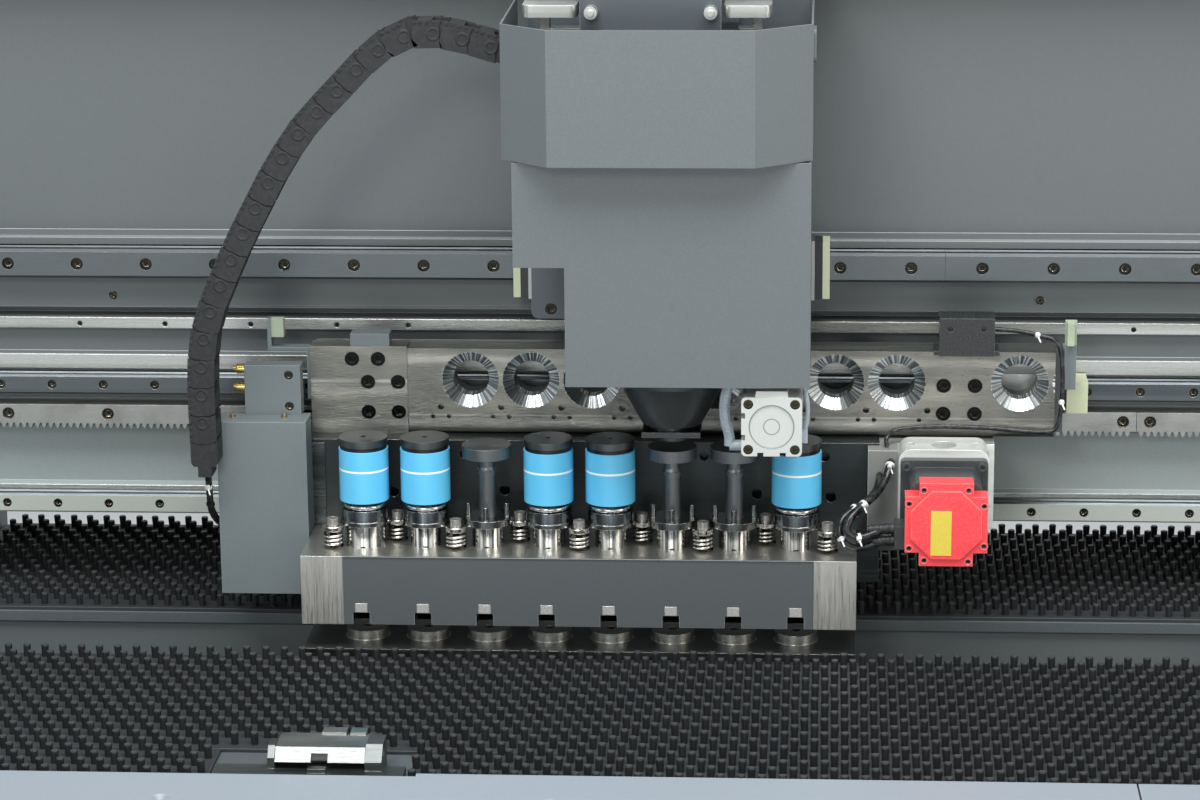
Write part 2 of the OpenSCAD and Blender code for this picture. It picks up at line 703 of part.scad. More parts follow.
module bar_keys() {
    color(steel) for (k = [1 : stations]) let (wall = tool_y - barrel_d(k) / 2 - 1) {
        block([tool_x(k) - key_w / 2, tool_x(k) + key_w / 2], [bar_front + 0.6, wall], [key_z[0], key_z[1]]);
        block([tool_x(k) - key_tip_w / 2, tool_x(k) + key_tip_w / 2], [wall - eps, wall + 1 + key_reach],
            [key_z[0], key_z[1]]);
    }
}

// Lifters: a shoulder bolt, a thick washer and a coil spring between neighbouring tools,
// the odd ones in front of the tool axes and the even ones behind
lifter_d = 8;
washer_d = 23.6;
washer_h = 7;
spring_top = flange_z - washer_h;
function lifter_x(i) = tool_x(i) + tool_pitch / 2;
function lifter_row(i) = tool_y + (i % 2 == 0 ? -lifter_y : lifter_y);
module lifter_bolts() {
    head_h = 8;
    color(steel) for (i = [0 : stations]) translate([lifter_x(i), lifter_row(i), flange_z + head_h + 0.05])
        socket_screw(lifter_d, flange_lift);
}

// Coil of square wire, as a swept helix
module coil(d, wire, z0, z1, turns, steps) {
    count = round(turns * steps);
    h = z1 - z0 - wire;
    path = [for (i = [0 : count]) [d / 2 * cos(360 * i / steps), d / 2 * sin(360 * i / steps),
        z0 + wire / 2 + h * i / count]];
    tube(path, wire, 6);
}

strip_turns = 4.6;
module tool_springs() {
    color(steel) {
        for (i = [0 : stations]) translate([lifter_x(i), lifter_row(i), 0]) {
            coil(18, 3.4, bar_top + 0.05, spring_top - 0.05, 4, 12);
            difference() {
                rod_z(0, 0, washer_d, [spring_top, flange_z - 0.05]);
                rod_z(0, 0, lifter_d + 0.6, [spring_top - 1, flange_z + 1]);
            }
        }
        for (k = [1 : stations]) if (!is_slender(k)) translate([tool_x(k), tool_y, 0])
            coil(42, 6, collar_top + 0.1, sleeve_top - 1.4, strip_turns, 14);
    }
}

// Tool guide: barrel with a keyway, flange, and a collar or four studs on top
guide_bottom = bar_bottom + 3.5;
nose_h = 4;
key_slot_rise = 14;
module guide(k) {
    key_slot_w = key_tip_w + 0.3;
    bore_d = (is_slender(k) ? shaft_d : body_d) + slide_fit;
    nose_d = point_d + 0.4;
    barrel_front = tool_y - barrel_d(k) / 2;
    color(steel) difference() {
        union() {
            rod_z(tool_x(k), tool_y, barrel_d(k), [guide_bottom, flange_z + 1]);
            rod_z(tool_x(k), tool_y, flange_d, [flange_z, flange_z + (is_slender(k) ? 8 : 4.5)]);
            if (!is_slender(k)) rod_z(tool_x(k), tool_y, 51, [flange_z, collar_top]);
            if (is_slender(k)) for (a = [0 : 90 : 270])
                rod_z(tool_x(k) + 21.5 * cos(a), tool_y + 21.5 * sin(a), 6, [flange_z + 7, flange_z + 23]);
        }
        rod_z(tool_x(k), tool_y, bore_d, [guide_bottom + nose_h, collar_top + 1]);
        rod_z(tool_x(k), tool_y, nose_d, [guide_bottom - 1, guide_bottom + nose_h + 1]);
        block([tool_x(k) - key_slot_w / 2, tool_x(k) + key_slot_w / 2],
            [barrel_front - 1, barrel_front + key_reach + 0.5], [guide_bottom - 1, bar_top + key_slot_rise]);
        rod_y(tool_x(k), bar_top + key_slot_rise, key_slot_w,
            [barrel_front - 1, barrel_front + key_reach + 0.5]);
    }
}

// Punch: the sleeved kind hides its stripping spring, the slender kind is a bare stem
body_bottom = guide_bottom + nose_h + 16;
module sleeved_punch(k) {
    ring_h = 7;
    disc_h = 5.5;
    sleeve_wall = 1.7;
    color("#2f9fe8") difference() {
        rod_z(tool_x(k), tool_y, sleeve_d, [sleeve_z, sleeve_top]);
        rod_z(tool_x(k), tool_y, sleeve_d - 2 * sleeve_wall, [sleeve_z - 1, sleeve_top + 1]);
    }
    color(black) difference() {
        union() {
            rod_z(tool_x(k), tool_y, sleeve_d - 2 * sleeve_wall - 0.04, [sleeve_top - 1, sleeve_top + 1]);
            rod_z(tool_x(k), tool_y, disc_d - 2, [sleeve_top, sleeve_top + ring_h]);
            rod_z(tool_x(k), tool_y, disc_d, [sleeve_top + ring_h - eps, sleeve_top + ring_h + disc_h]);
            rod_z(tool_x(k), tool_y, body_d, [body_bottom, sleeve_top]);
            rod_z(tool_x(k), tool_y, point_d, [guide_bottom + 2, body_bottom + 1]);
        }
        rod_z(tool_x(k), tool_y, 6, [sleeve_top + ring_h + disc_h - 3, sleeve_top + ring_h + disc_h + 1]);
    }
}

module slender_punch(k) {
    disc_h = 13;
    color(dark_steel) {
        rod_z(tool_x(k), tool_y, disc_d, [slender_disc_z, slender_disc_z + disc_h]);
        rod_z(tool_x(k), tool_y, 16.5, [slender_disc_z - 12, slender_disc_z + 1]);
        translate([tool_x(k), tool_y, slender_disc_z - 15]) cylinder(h = 3, d1 = shaft_d, d2 = 16.5);
        rod_z(tool_x(k), tool_y, shaft_d + 2.6, [slender_disc_z - 20, slender_disc_z - 15]);
        rod_z(tool_x(k), tool_y, shaft_d, [body_bottom, slender_disc_z - 19]);
        rod_z(tool_x(k), tool_y, point_d, [guide_bottom + 0.2, body_bottom + 1]);
    }
}

module punch(k) {
    if (is_slender(k)) slender_punch(k);
    else sleeved_punch(k);
}

// Left end of the carriage: a tall sheet cover, and an oil distributor on a block above it
cover_x = [-413, -312.5];
cover_z = [877, 1077];
cover_front = 97;
cover_back = 140;
module cover_box() {
    t = sheet_t;
    foot = 16;
    lid_screw = 4;
    lid_seat = 0.1;
    color(paint) {
        difference() {
            block(cover_x, [cover_front, cover_back], cover_z);
            block([cover_x[0] + t, cover_x[1] - t], [cover_front + t, cover_back + 1],
                [cover_z[0] - 1, cover_z[1] - t]);
        }
        block([cover_x[1] - foot, cover_x[1] - t + eps], [cover_back - t, cover_back],
            [cover_z[0], cover_z[1] - t]);
        // Bracket plate that carries the cover from the back plate's end
        block([cover_x[0] + 6, carriage_left + 18], [cover_back, holder_front],
            [bar_top + 4, back_plate_z[1] - 4]);
    }
    color(dark_steel) for (x = [cover_x[0] + 15, cover_x[1] - 27])
        translate([x, cover_front + 22, cover_z[1] + lid_screw + lid_seat]) socket_screw(lid_screw, lid_seat);
}

module oil_distributor() {
    block_x = [-385, -322];
    block_z = [cover_z[1], cover_z[1] + 57];
    block_y = [130, 152];
    screw_x = block_x[1] - 13;
    screw_z = [block_z[0] + 10, block_z[1] - 11];
    color(paint) difference() {
        block(block_x, block_y, block_z);
        for (z = screw_z) rod_y(screw_x, z, 10.5, [block_y[0] - 1, block_y[0] + 7]);
    }
    color(dark_steel) for (z = screw_z) screw_to_front(screw_x, block_y[0] + 0.5, z, small_screw, 0.4);
    color("#b89b54") for (z = [block_z[1] - 27, block_z[1] - 6]) {
        rod_x(block_y[0] + 8, z, 11, [block_x[0] - 9, block_x[0]]);
        rod_x(block_y[0] + 8, z, 7, [block_x[0] - 13, block_x[0] - 8.9]);
    }
}

// Servomotor with its stepped end cap, square adaptor and bracket
motor_flange_y = 97;
adaptor_back = 150;
motor_side = 96;
cap_y = [-5, 24];
module motor_bracket() {
    cheek_x = 313;
    cheek_front = 120;
    bracket_z = [946, 1044];
    adaptor_half = 50;
    color("#8f8d84") difference() {
        union() {
            block([back_plate_x[1] + 0.3, 454], [adaptor_back, plate_front], bracket_z);
            block([cheek_x, motor_x - adaptor_half], [cheek_front, holder_front], bracket_z);
            block([back_plate_x[1] + 0.3, motor_x - adaptor_half], [holder_front - 1, adaptor_back + 1],
                bracket_z);
        }
        rod_y(motor_x, motor_z, 50, [adaptor_back - 1, plate_front + 1]);
    }
    color(steel) difference() {
        along_y([motor_flange_y, adaptor_back]) difference() {
            rounded([motor_x - adaptor_half, motor_z - 47], [motor_x + adaptor_half, motor_z + 57], 14);
            translate([motor_x, motor_z]) circle(d = 62);
        }
        rod_z(motor_x, 118, 28, [motor_z + 28, motor_z + 58]);
        for (x = [-36, 36]) rod_z(motor_x + x, 122, 9, [motor_z + 48, motor_z + 58]);
    }
}

module servomotor() {
    body = 80;
    flange_t = 12;
    screw_r = 41.5;
    color(black) {
        along_y([cap_y[1], motor_flange_y - flange_t]) rounded([motor_x - body / 2, motor_z - body / 2],
            [motor_x + body / 2, motor_z + body / 2], 13);
        along_y([motor_flange_y - flange_t - eps, motor_flange_y])
            rounded([motor_x - motor_side / 2, motor_z - motor_side / 2],
                [motor_x + motor_side / 2, motor_z + motor_side / 2], 5);
        // Cable box on the left side
        block([motor_x - 55, motor_x - body / 2 + 1], [30, 62], [motor_z - 38, motor_z - 12]);
    }
    color(dark_steel) for (x = [-1, 1], z = [-1, 1])
        screw_to_front(motor_x + x * screw_r, motor_flange_y - flange_t - small_screw, motor_z + z * screw_r,
            small_screw, 0.5);
}

module motor_end_cap() {
    reach = 46.5;
    shoulder = 31.5;
    arm = 29;
    stepped = [[-arm, reach], [arm, reach], [arm, shoulder], [reach - 2, shoulder], [reach - 2, -shoulder],
        [arm, -shoulder], [arm, -reach], [-arm, -reach], [-arm, -shoulder], [-reach + 2, -shoulder],
        [-reach + 2, shoulder], [-arm, shoulder]];
    screws = [[-24.5, 38.5], [23.5, 38.5], [-40.3, 23], [40.5, 21], [40.8, -24], [24, -41.5], [-23.5, -40.5],
        [-40, -27]];
    color("#d8323f") translate([motor_x, 0, motor_z]) difference() {
        union() {
            along_y([cap_y[0] + 3, cap_y[1]]) polygon(stepped);
            along_y([cap_y[0], cap_y[0] + 4]) polygon([for (a = [22.5 : 45 : 360]) 41 * [cos(a), sin(a)]]);
        }
        for (s = screws) rod_y(s[0], s[1], 5.6, [cap_y[0] - 1, cap_y[0] + 8]);
    }
}

// Leads: swept tubes along hand-set routes
motor_lead = [[340.7, 44, 976.5], [331, 44, 975.5], [303, 36, 968], [290, 34, 976], [294, 40, 990],
    [308, 56, 1000], [322, 76, 1007], [332, 94, 1018], [337, 108, 1030], [338, 118.8, 1031]];
motor_lead_low = [[340.7, 44, 963], [331, 44, 962], [300, 42, 955], [284, 40, 966], [284, 48, 984],
    [298, 62, 994], [312, 78, 998], [322, 94, 1006], [326, 108, 1015], [326, 118.8, 1016]];
signal_lead = [[334, 134, 1044.9], [334, 138, 1054], [345, 150, 1060], [390, 158, 1062], [450, 160, 1060],
    [505, 160, 1056], [523, 161, 1062], [528, 162, 1090], [528, 162, 1130], [522, 163, 1158],
    [500, 166, 1166], [478, 168, 1170], [453.5, 168, 1172]];
carrier_leads = [[-421, 76, 1022], [-421, 80, 1006], [-422, 88, 990], [-423, 99, 975], [-422, 110, 964],
    [-420, 117, 957], [-418, 119, 954], [-413.7, 119, 954]];
module leads() {
    color(black) {
        tube(curve(motor_lead, 4), 9);
        tube(curve(motor_lead_low, 4), 8);
        tube(curve(signal_lead, 3), 5);
        for (d = [0, 8]) tube(curve([for (p = carrier_leads) p + [0, d, 0]], 3), 6);
    }
}

// Black sensor block on the lock bar
module sensor_block() {
    color(black) {
        difference() {
            block([391, 452], [150, 186], [lock_bar_z[1], 1188]);
            for (x = [403, 440]) rod_y(x, 1176, 6, [149, 156]);
        }
        block([385, 458], [154, 190], [lock_bar_z[1], lock_bar_z[1] + 5]);
    }
}

// Small brackets at both ends of the carriage, with their pads
module carriage_end_brackets() {
    t = 4;
    strip_x = -364;
    strip_y = [172, 188];
    strip_z = lock_bar_z[1] - 4;
    strip_top = strip_z + 36;
    color(paint) {
        block([strip_x, strip_x + t], strip_y, [strip_z, strip_top]);
        block([strip_x, carriage_left], strip_y, [strip_z, strip_z + t]);
        block([carriage_left - t, carriage_left], strip_y, [strip_z - 56, strip_z + t]);
        block([-270, -226], [172, 196], [lock_bar_z[1] + 2, 1161]);
    }
    color("#b9c4a4") block([strip_x + t, strip_x + t + 14], [174, 186], [strip_top - 21, strip_top]);
    color("#aebbc0") {
        block([carriage_right + 11, carriage_right + 24], [188, 191], [1098, 1178]);
        block([carriage_right + 11, carriage_right + 14], [191, plate_back], [1098, 1142]);
    }
    color("#b9c4a4") block([carriage_right + 13, carriage_right + 21], [180, 188], [1150, 1176]);
}

// Cable carrier: links hinged on round pins along an arched route in X and Z
carrier_route = [[-90, 1502], [-128, 1513], [-176, 1519], [-219, 1499], [-266, 1452], [-300, 1416],
    [-330, 1372], [-352, 1332], [-375, 1288], [-395, 1244], [-410, 1208], [-419, 1172], [-422, 1130],
    [-422, 1096], [-421, 1040]];
carrier_y = [62, 96];
link_pitch = 32;
link_h = 29;
function run(p) = [for (i = 0, s = 0; i < len(p);
    s = s + (i < len(p) - 1 ? norm(p[i + 1] - p[i]) : 0), i = i + 1) s];
function route_at(p, c, s) = let (i = max([for (j = [0 : len(p) - 2]) if (c[j] <= s) j]))
    p[i] + (p[i + 1] - p[i]) * (s - c[i]) / (c[i + 1] - c[i]);
module cable_carrier() {
    route = curve(carrier_route, 4);
    c = run(route);
    links = floor(c[len(c) - 1] / link_pitch);
    hinge = [for (i = [0 : links]) route_at(route, c, i * link_pitch)];
    color(black) {
        for (i = [0 : links - 1]) let (d = hinge[i + 1] - hinge[i])
            translate([hinge[i][0], 0, hinge[i][1]]) rotate([0, -atan2(d[1], d[0]), 0])
                block([1, norm(d) - 1], carrier_y, [-link_h / 2, link_h / 2]);
        for (h = hinge) rod_y(h[0], h[1], 13, [carrier_y[0] + 4, carrier_y[1] - 4]);
    }
    // Fixing lugs on the head's side and on the cover box
    color(steel) {
        block([head_x0 - 20, head_x0 - 12.3], [carrier_y[0] + 6, carrier_y[1] - 6], [1490, 1514]);
        block([-424, cover_x[0] + 8], [carrier_y[0] + 8, cover_front], [1026, 1034]);
    }
}

// Pinion with involute teeth, hub and shaft
function involute(a) = tan(a) * 180 / PI - a;
function flank_half(r, base) = 90 / pinion_teeth - backlash / 4 / pinion_r * 180 / PI
    + involute(20) - involute(acos(min(1, base / r)));
function polar(r, a) = r * [cos(a), sin(a)];
function pinion_tooth(centre) = let (base = pinion_r * cos(20), tip = pinion_r + gear_module,
    root = pinion_r - 1.25 * gear_module, steps = 5,
    radii = [for (i = [0 : steps]) base + (tip - base) * i / steps]) concat(
    [polar(root, centre - flank_half(base, base))],
    [for (r = radii) polar(r, centre - flank_half(r, base))],
    [for (i = [steps : -1 : 0]) polar(radii[i], centre + flank_half(radii[i], base))],
    [polar(root, centre + flank_half(base, base))]);
module pinion() {
    color(steel) translate([motor_x, 0, motor_z]) {
        along_y([rail_y + 1, rail_y + 22]) polygon([for (i = [0 : pinion_teeth - 1],
            p = pinion_tooth(90 + (i + 0.5) * 360 / pinion_teeth)) p]);
        rod_y(0, 0, 44, [plate_front + 2, rail_y + 1 + eps]);
        rod_y(0, 0, 24, [motor_flange_y + 3, plate_front + 3]);
    }
}

// Head: casting on four guide blocks, with the ram housing, covers, drive and lock cylinder
head_blocks_x = [-19.5, 199.5];
large_block_w = 70;
head_wiper_t = 12;
module head_plate() {
    bottom = 1178;
    color(paint) difference() {
        along_y([head_plate_front, head_plate_back])
            rounded([head_x0 + 1, bottom], [head_x1 - 1, beam_top - 4], 8);
        rod_y(-43, 1189, 13.5, [head_plate_front - 1, head_plate_front + 8]);
    }
    color(dark_steel) screw_to_front(-43, head_plate_front + 0.5, 1189, large_screw * 0.98, 0.5);
}

module head_guide_blocks() {
    color(steel) for (x = head_blocks_x, z = [head_rail_z, head_rail_top_z])
        guide_block(x, z, large_block_l, large_rail_w, large_rail_h, large_block_w,
            large_seat_y - 7.5, head_plate_back, head_wiper_t);
}

housing_x = [24, 170];
housing_y = [0, head_plate_front];
housing_top = 1530;
module ram_housing() {
    nose_z = 1088;
    neck_z = 1137;
    box_z = 1172;
    neck_d = 120;
    color(black) difference() {
        union() {
            block(housing_x, housing_y, [box_z, housing_top]);
            rod_z(ram_x, tool_y, neck_d, [neck_z - eps, box_z + 1]);
            translate([ram_x, tool_y, nose_z]) cylinder(h = neck_z - nose_z, d1 = 66, d2 = neck_d);
        }
        rod_z(ram_x, tool_y, ram_d + slide_fit, [nose_z - 1, housing_top - 30]);
    }
}

cover_y = -30;
cover_bottom = 1153;
cover_step_z = 1283;
cover_step_x = -12;
cover_top = 1396;
cover_side_back = 140;
module lower_cover() {
    t = sheet_t;
    x0 = head_x0 - 0.5;
    x1 = head_x1 + 0.7;
    fold_x = 192;
    color(paint) {
        along_z([cover_bottom, cover_top]) polygon([[cover_step_x, cover_y], [fold_x, cover_y],
            [x1, cover_y + 3], [x1, cover_side_back], [x1 - t, cover_side_back], [x1 - t, cover_y + 3 + t],
            [fold_x, cover_y + t], [cover_step_x, cover_y + t]]);
        along_z([cover_step_z, cover_top]) polygon([[x0, cover_y], [cover_step_x, cover_y],
            [cover_step_x, cover_y + t], [x0 + t, cover_y + t], [x0 + t, cover_side_back],
            [x0, cover_side_back]]);
        block([cover_step_x, cover_step_x + t], [cover_y, cover_side_back],
            [cover_bottom, cover_step_z + t]);
        block([x0, cover_step_x + t], [cover_y, cover_side_back], [cover_step_z, cover_step_z + t]);
        // Inner flanges that meet the ram housing
        for (z = [1300, 1380]) {
            block([x0, housing_x[0]], [60, 64], [z, z + 14]);
            block([housing_x[1], x1], [60, 64], [z, z + 14]);
        }
    }
}

skirt_z = [cover_top + 1, cover_top + 145];
module upper_skirt() {
    t = sheet_t;
    front = -62;
    fold = [-26.5, 190];
    wide = [-78, 250];
    chamfer_y = -16;
    back = head_plate_front;
    color(paint) {
        along_z(skirt_z) difference() {
            polygon([[fold[0], front], [fold[1], front], [wide[1], chamfer_y], [wide[1], back],
                [wide[0], back], [wide[0], chamfer_y]]);
            polygon([[fold[0] + 1, front + t], [fold[1] - 1, front + t], [wide[1] - t, chamfer_y + 1],
                [wide[1] - t, back + 1], [wide[0] + t, back + 1], [wide[0] + t, chamfer_y + 1]]);
        }
        block([wide[0] + t - eps, head_x0 - 0.6], [100, 130], [1400, 1404]);
        for (x = [30, 150]) block([x, x + 12], [front + t - eps, 0], [1500, 1504]);
    }
    color("#b7b86a") along_x([wide[1], wide[1] + 3]) rounded([-40 + 30, 1498], [14, 1536], 8);
}

module head_drive() {
    top_z = 1694;
    side_block_z = [skirt_z[1] + 2, skirt_z[1] + 15];
    color(paint) {
        block([4, 153], [16, 28], [1530, 1640]);
        block([20, 140], [28, 150], [1530, 1560]);
    }
    color(black) block([26, 134], [34, 142], [1560, top_z]);
    color(steel) for (x = [16, 142]) {
        rod_y(x, 1549, 14, [4, 16]);
        rod_y(x, 1549, 7, [0, 4.01]);
    }
    color(pale_paint) {
        along_z(side_block_z) rounded([-57, 12], [1, 60], 8);
        along_z(side_block_z) rounded([156, 12], [206, 60], 8);
        for (x = [[-40, housing_x[0]], [housing_x[1], 196]])
            block(x, [40, 60], [housing_top - 14, housing_top - 2]);
        for (x = [[-40, -30], [186, 196]]) block(x, [40, 60], [housing_top - 3, side_block_z[0] + eps]);
    }
}

// Compact cylinder that drives the lock pin toward the lock bar
cylinder_y = [-25, 52];
pin_nose_y = lock_front - 3;
module lock_cylinder() {
    half = cylinder_side / 2;
    bolt = 25;
    slot = 6.5;
    color(pale_paint) {
        difference() {
            union() {
                along_y(cylinder_y) rounded([pin_x - half, lock_z - half], [pin_x + half, lock_z + half], 5);
                along_y([cylinder_y[0] + 2, cylinder_y[1]]) polygon([[pin_x - 18, lock_z + half - 1],
                    [pin_x + 18, lock_z + half - 1], [pin_x + 16.5, lock_z + half + 6.5],
                    [pin_x - 16.5, lock_z + half + 6.5]]);
            }
            for (x = [-bolt, bolt], z = [-bolt, bolt])
                rod_y(pin_x + x, lock_z + z, 10.4, [cylinder_y[0] - 1, cylinder_y[0] + 9]);
            rod_y(pin_x, lock_z, 48, [cylinder_y[0] - 1, cylinder_y[0] + 1.5]);
            for (s = [-12, 12]) {
                block([pin_x + s - slot / 2, pin_x + s + slot / 2], [cylinder_y[0] - 1, cylinder_y[1] + 1],
                    [lock_z - half - 1, lock_z - half + 4]);
                block([pin_x - half - 1, pin_x - half + 4], [cylinder_y[0] - 1, cylinder_y[1] + 1],
                    [lock_z + s - slot / 2, lock_z + s + slot / 2]);
            }
            rod_y(pin_x, lock_z, 22, [cylinder_y[1] - 8, cylinder_y[1] + 1]);
        }
    }
    color(dark_steel) for (x = [-bolt, bolt], z = [-bolt, bolt])
        screw_to_front(pin_x + x, cylinder_y[0] + 2.4, lock_z + z, small_screw, 0.6);
    // Guide housing for the pin, hung from the ram housing
    color(dark_steel) difference() {
        union() {
            rod_y(pin_x, lock_z, 56, [cylinder_y[1], lock_front - 6]);
            block([pin_x - 30, pin_x + 30], [cylinder_y[1], cylinder_y[1] + 12], [lock_z - 30, lock_z + 60]);
            block([pin_x - 26, pin_x + 26], [80, 130], [lock_z + 10, 1170]);
            block([housing_x[1], pin_x + 26], [80, 130], [1160, 1200]);
        }
        rod_y(pin_x, lock_z, pin_d + slide_fit, [cylinder_y[1] - 1, lock_front]);
    }
}

hose_route = [[166, -4, 1162], [160, -6, 1146], [157, -5, 1128], [158, -3, 1110], [161, -1, 1098],
    [162.5, 0, 1089]];
wire_route = [[235, 4, 1162], [242.5, 2, 1148], [246, 0, 1130], [246, 0, 1112], [244, 0, 1100.7]];
module cylinder_hose() {
    side = cylinder_side / 2;
    color("#9fb0bd") tube(curve(hose_route, 3), 12);
    color("white") tube(curve(wire_route, 3), 5);
    // Elbow for the hose and a switch block for the wire, on the cylinder's sides
    color(black) {
        rod_x(0, 1082, 12, [162.5, pin_x - side]);
        rod_z(162.5, 0, 12, [1082, 1089]);
        block([pin_x + side, pin_x + side + 6], [-12, 12], [1088, 1100.5]);
    }
}

module ram() {
    striker_z = ram_z + 7;
    color(black) {
        rod_z(ram_x, tool_y, 43.5, [ram_z, striker_z + eps]);
        rod_z(ram_x, tool_y, ram_d, [striker_z, housing_top - 90]);
    }
    color(steel) difference() {
        block([ram_x - 32, ram_x + 32], [tool_y - 32, tool_y + 32], [striker_z, striker_z + 6]);
        rod_z(ram_x, tool_y, ram_d + 0.02, [striker_z - 1, striker_z + 7]);
    }
}

module lock_pin() {
    color(steel) {
        rod_y(pin_x, lock_z, pin_d, [cylinder_y[1] + 34, pin_nose_y - 10]);
        translate([pin_x, pin_nose_y - 10 - eps, lock_z]) rotate([-90, 0, 0])
            cylinder(h = 10, d1 = pin_d, d2 = pin_d - 14);
        rod_y(pin_x, lock_z, 20, [cylinder_y[1] - 5, cylinder_y[1] + 34 + eps]);
    }
}

// Lower tool carriage: the die bar runs in the table's slot on two rails of its own
die_bar_y = [22, 142];
die_bar_z = [700, 838];
module die_bar() {
    feet = [row_x - 220, row_x + 220];
    block_front = 13;
    color(dark_steel) difference() {
        block([bar_x0, bar_x1], die_bar_y, die_bar_z);
        for (k = [1 : stations]) rod_z(tool_x(k), tool_y, 50, [die_bar_z[1] - 30, die_bar_z[1] + 1]);
        for (k = [1 : stations]) rod_z(tool_x(k), tool_y, 26, [die_bar_z[0] - 1, die_bar_z[1]]);
    }
    color(steel) for (x = feet, y = die_rail_y)
        translate([0, y, die_seat_z + small_rail_h + rail_y]) rotate([-90, 0, 0])
            saddle([x - small_block_l / 2, x + small_block_l / 2], 0, small_rail_w, small_rail_h,
                small_block_w, small_block_back, plate_back);
    color(dark_steel) for (x = feet)
        block([x - 50, x + 50], die_bar_y, [die_seat_z + 36, die_bar_z[0]]);
}

module dies() {
    die_top = pass_z - 1.5;
    color(steel) for (k = [1 : stations]) difference() {
        union() {
            rod_z(tool_x(k), tool_y, 49.96, [die_bar_z[1] - 30, die_bar_z[1] + eps]);
            rod_z(tool_x(k), tool_y, 47, [die_bar_z[1], die_top]);
        }
        rod_z(tool_x(k), tool_y, point_d + 0.3, [die_bar_z[1] - 31, die_top + 1]);
    }
}

side_frames();
levelling_feet();
cross_members();
table_plates();
brush_fields();
front_apron();
crossbeam();
head_rails();
carriage_rails();
rail_screws();
gear_rack();
clamp_body();
clamp_jaw();
carriage_plate();
carriage_guide_blocks();
lock_bar();
carriage_screws();
tool_back_plate();
tool_bar();
bar_keys();
lifter_bolts();
tool_springs();
cover_box();
oil_distributor();
motor_bracket();
servomotor();
motor_end_cap();
leads();
sensor_block();
carriage_end_brackets();
cable_carrier();
pinion();
head_plate();
head_guide_blocks();
ram_housing();
lower_cover();
upper_skirt();
head_drive();
lock_cylinder();
cylinder_hose();
ram();
lock_pin();
die_bar();
dies();
guide(1);  // guide_1
guide(2);  // guide_2
guide(3);  // guide_3
guide(4);  // guide_4
guide(5);  // guide_5
guide(6);  // guide_6
guide(7);  // guide_7
guide(8);  // guide_8
punch(1);  // punch_1
punch(2);  // punch_2
punch(3);  // punch_3
punch(4);  // punch_4
punch(5);  // punch_5
punch(6);  // punch_6
punch(7);  // punch_7
punch(8);  // punch_8
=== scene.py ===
import math
import random

import bmesh
import bpy
from mathutils import Matrix, Vector


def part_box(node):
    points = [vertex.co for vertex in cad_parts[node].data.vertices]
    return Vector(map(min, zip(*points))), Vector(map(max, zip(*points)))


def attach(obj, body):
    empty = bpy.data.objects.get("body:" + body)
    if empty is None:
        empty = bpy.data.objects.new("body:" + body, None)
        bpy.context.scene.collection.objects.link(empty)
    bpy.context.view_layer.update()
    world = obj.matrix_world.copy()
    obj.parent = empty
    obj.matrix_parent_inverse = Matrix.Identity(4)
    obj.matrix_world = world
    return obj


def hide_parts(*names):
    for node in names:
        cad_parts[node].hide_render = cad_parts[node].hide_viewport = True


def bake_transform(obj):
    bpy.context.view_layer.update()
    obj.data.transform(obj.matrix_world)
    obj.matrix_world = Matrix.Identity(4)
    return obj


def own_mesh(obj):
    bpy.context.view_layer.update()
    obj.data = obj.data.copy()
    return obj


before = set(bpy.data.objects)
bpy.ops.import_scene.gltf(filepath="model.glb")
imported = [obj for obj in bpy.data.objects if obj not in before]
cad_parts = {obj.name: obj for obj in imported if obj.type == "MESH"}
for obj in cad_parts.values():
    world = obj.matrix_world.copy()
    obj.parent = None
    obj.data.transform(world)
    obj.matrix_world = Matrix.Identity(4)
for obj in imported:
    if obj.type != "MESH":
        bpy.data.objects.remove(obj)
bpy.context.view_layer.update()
scene = bpy.context.scene
random.seed(7)


def placed(name, data):
    made = bpy.data.objects.new(name, data)
    scene.collection.objects.link(made)
    return made


# Camera, floor and lamps. The camera stands in front of the machine, a little above the head's
# lower rail, turned and tilted as a long lens on a tripod is. It was fitted to the rail screws.
EYE = Vector((0.2644, -3.6698, 2.0929))
TURN, TILT, ROLL = (math.radians(a) for a in (3.765, 14.655, -0.514))
LENS_MM, FILM_MM = 105.88, 36.0
ahead = Vector((-math.sin(TURN) * math.cos(TILT), math.cos(TURN) * math.cos(TILT), -math.sin(TILT)))
level = Vector((math.cos(TURN), math.sin(TURN), 0))
upward = level.cross(ahead)
right = level * math.cos(ROLL) + upward * math.sin(ROLL)
top = upward * math.cos(ROLL) - level * math.sin(ROLL)
lens = bpy.data.cameras.new("camera")
lens.sensor_fit, lens.sensor_width, lens.lens = "HORIZONTAL", FILM_MM, LENS_MM
lens.clip_start, lens.clip_end = 0.1, 60
camera = placed("camera", lens)
camera.matrix_world = Matrix.Translation(EYE) @ Matrix((right, top, -ahead)).transposed().to_4x4()
scene.camera = camera
scene.view_settings.view_transform = "Standard"


def linear(shade):
    parts = [int(shade[i:i + 2], 16) / 255 for i in (1, 3, 5)]
    return [c / 12.92 if c <= 0.04045 else ((c + 0.055) / 1.055) ** 2.4 for c in parts] + [1.0]


def add(tree, kind, sockets=None, **settings):
    made = tree.nodes.new("ShaderNode" + kind)
    for key, value in settings.items():
        setattr(made, key, value)
    for key, value in (sockets or {}).items():
        if isinstance(value, bpy.types.NodeSocket):
            tree.links.new(value, made.inputs[key])
        else:
            made.inputs[key].default_value = value
    return made


def blank(name):
    material = bpy.data.materials.new(name)
    material.use_nodes = True
    material.node_tree.nodes.clear()
    return material, material.node_tree


def show(tree, shader):
    add(tree, "OutputMaterial", {"Surface": shader.outputs[0]})


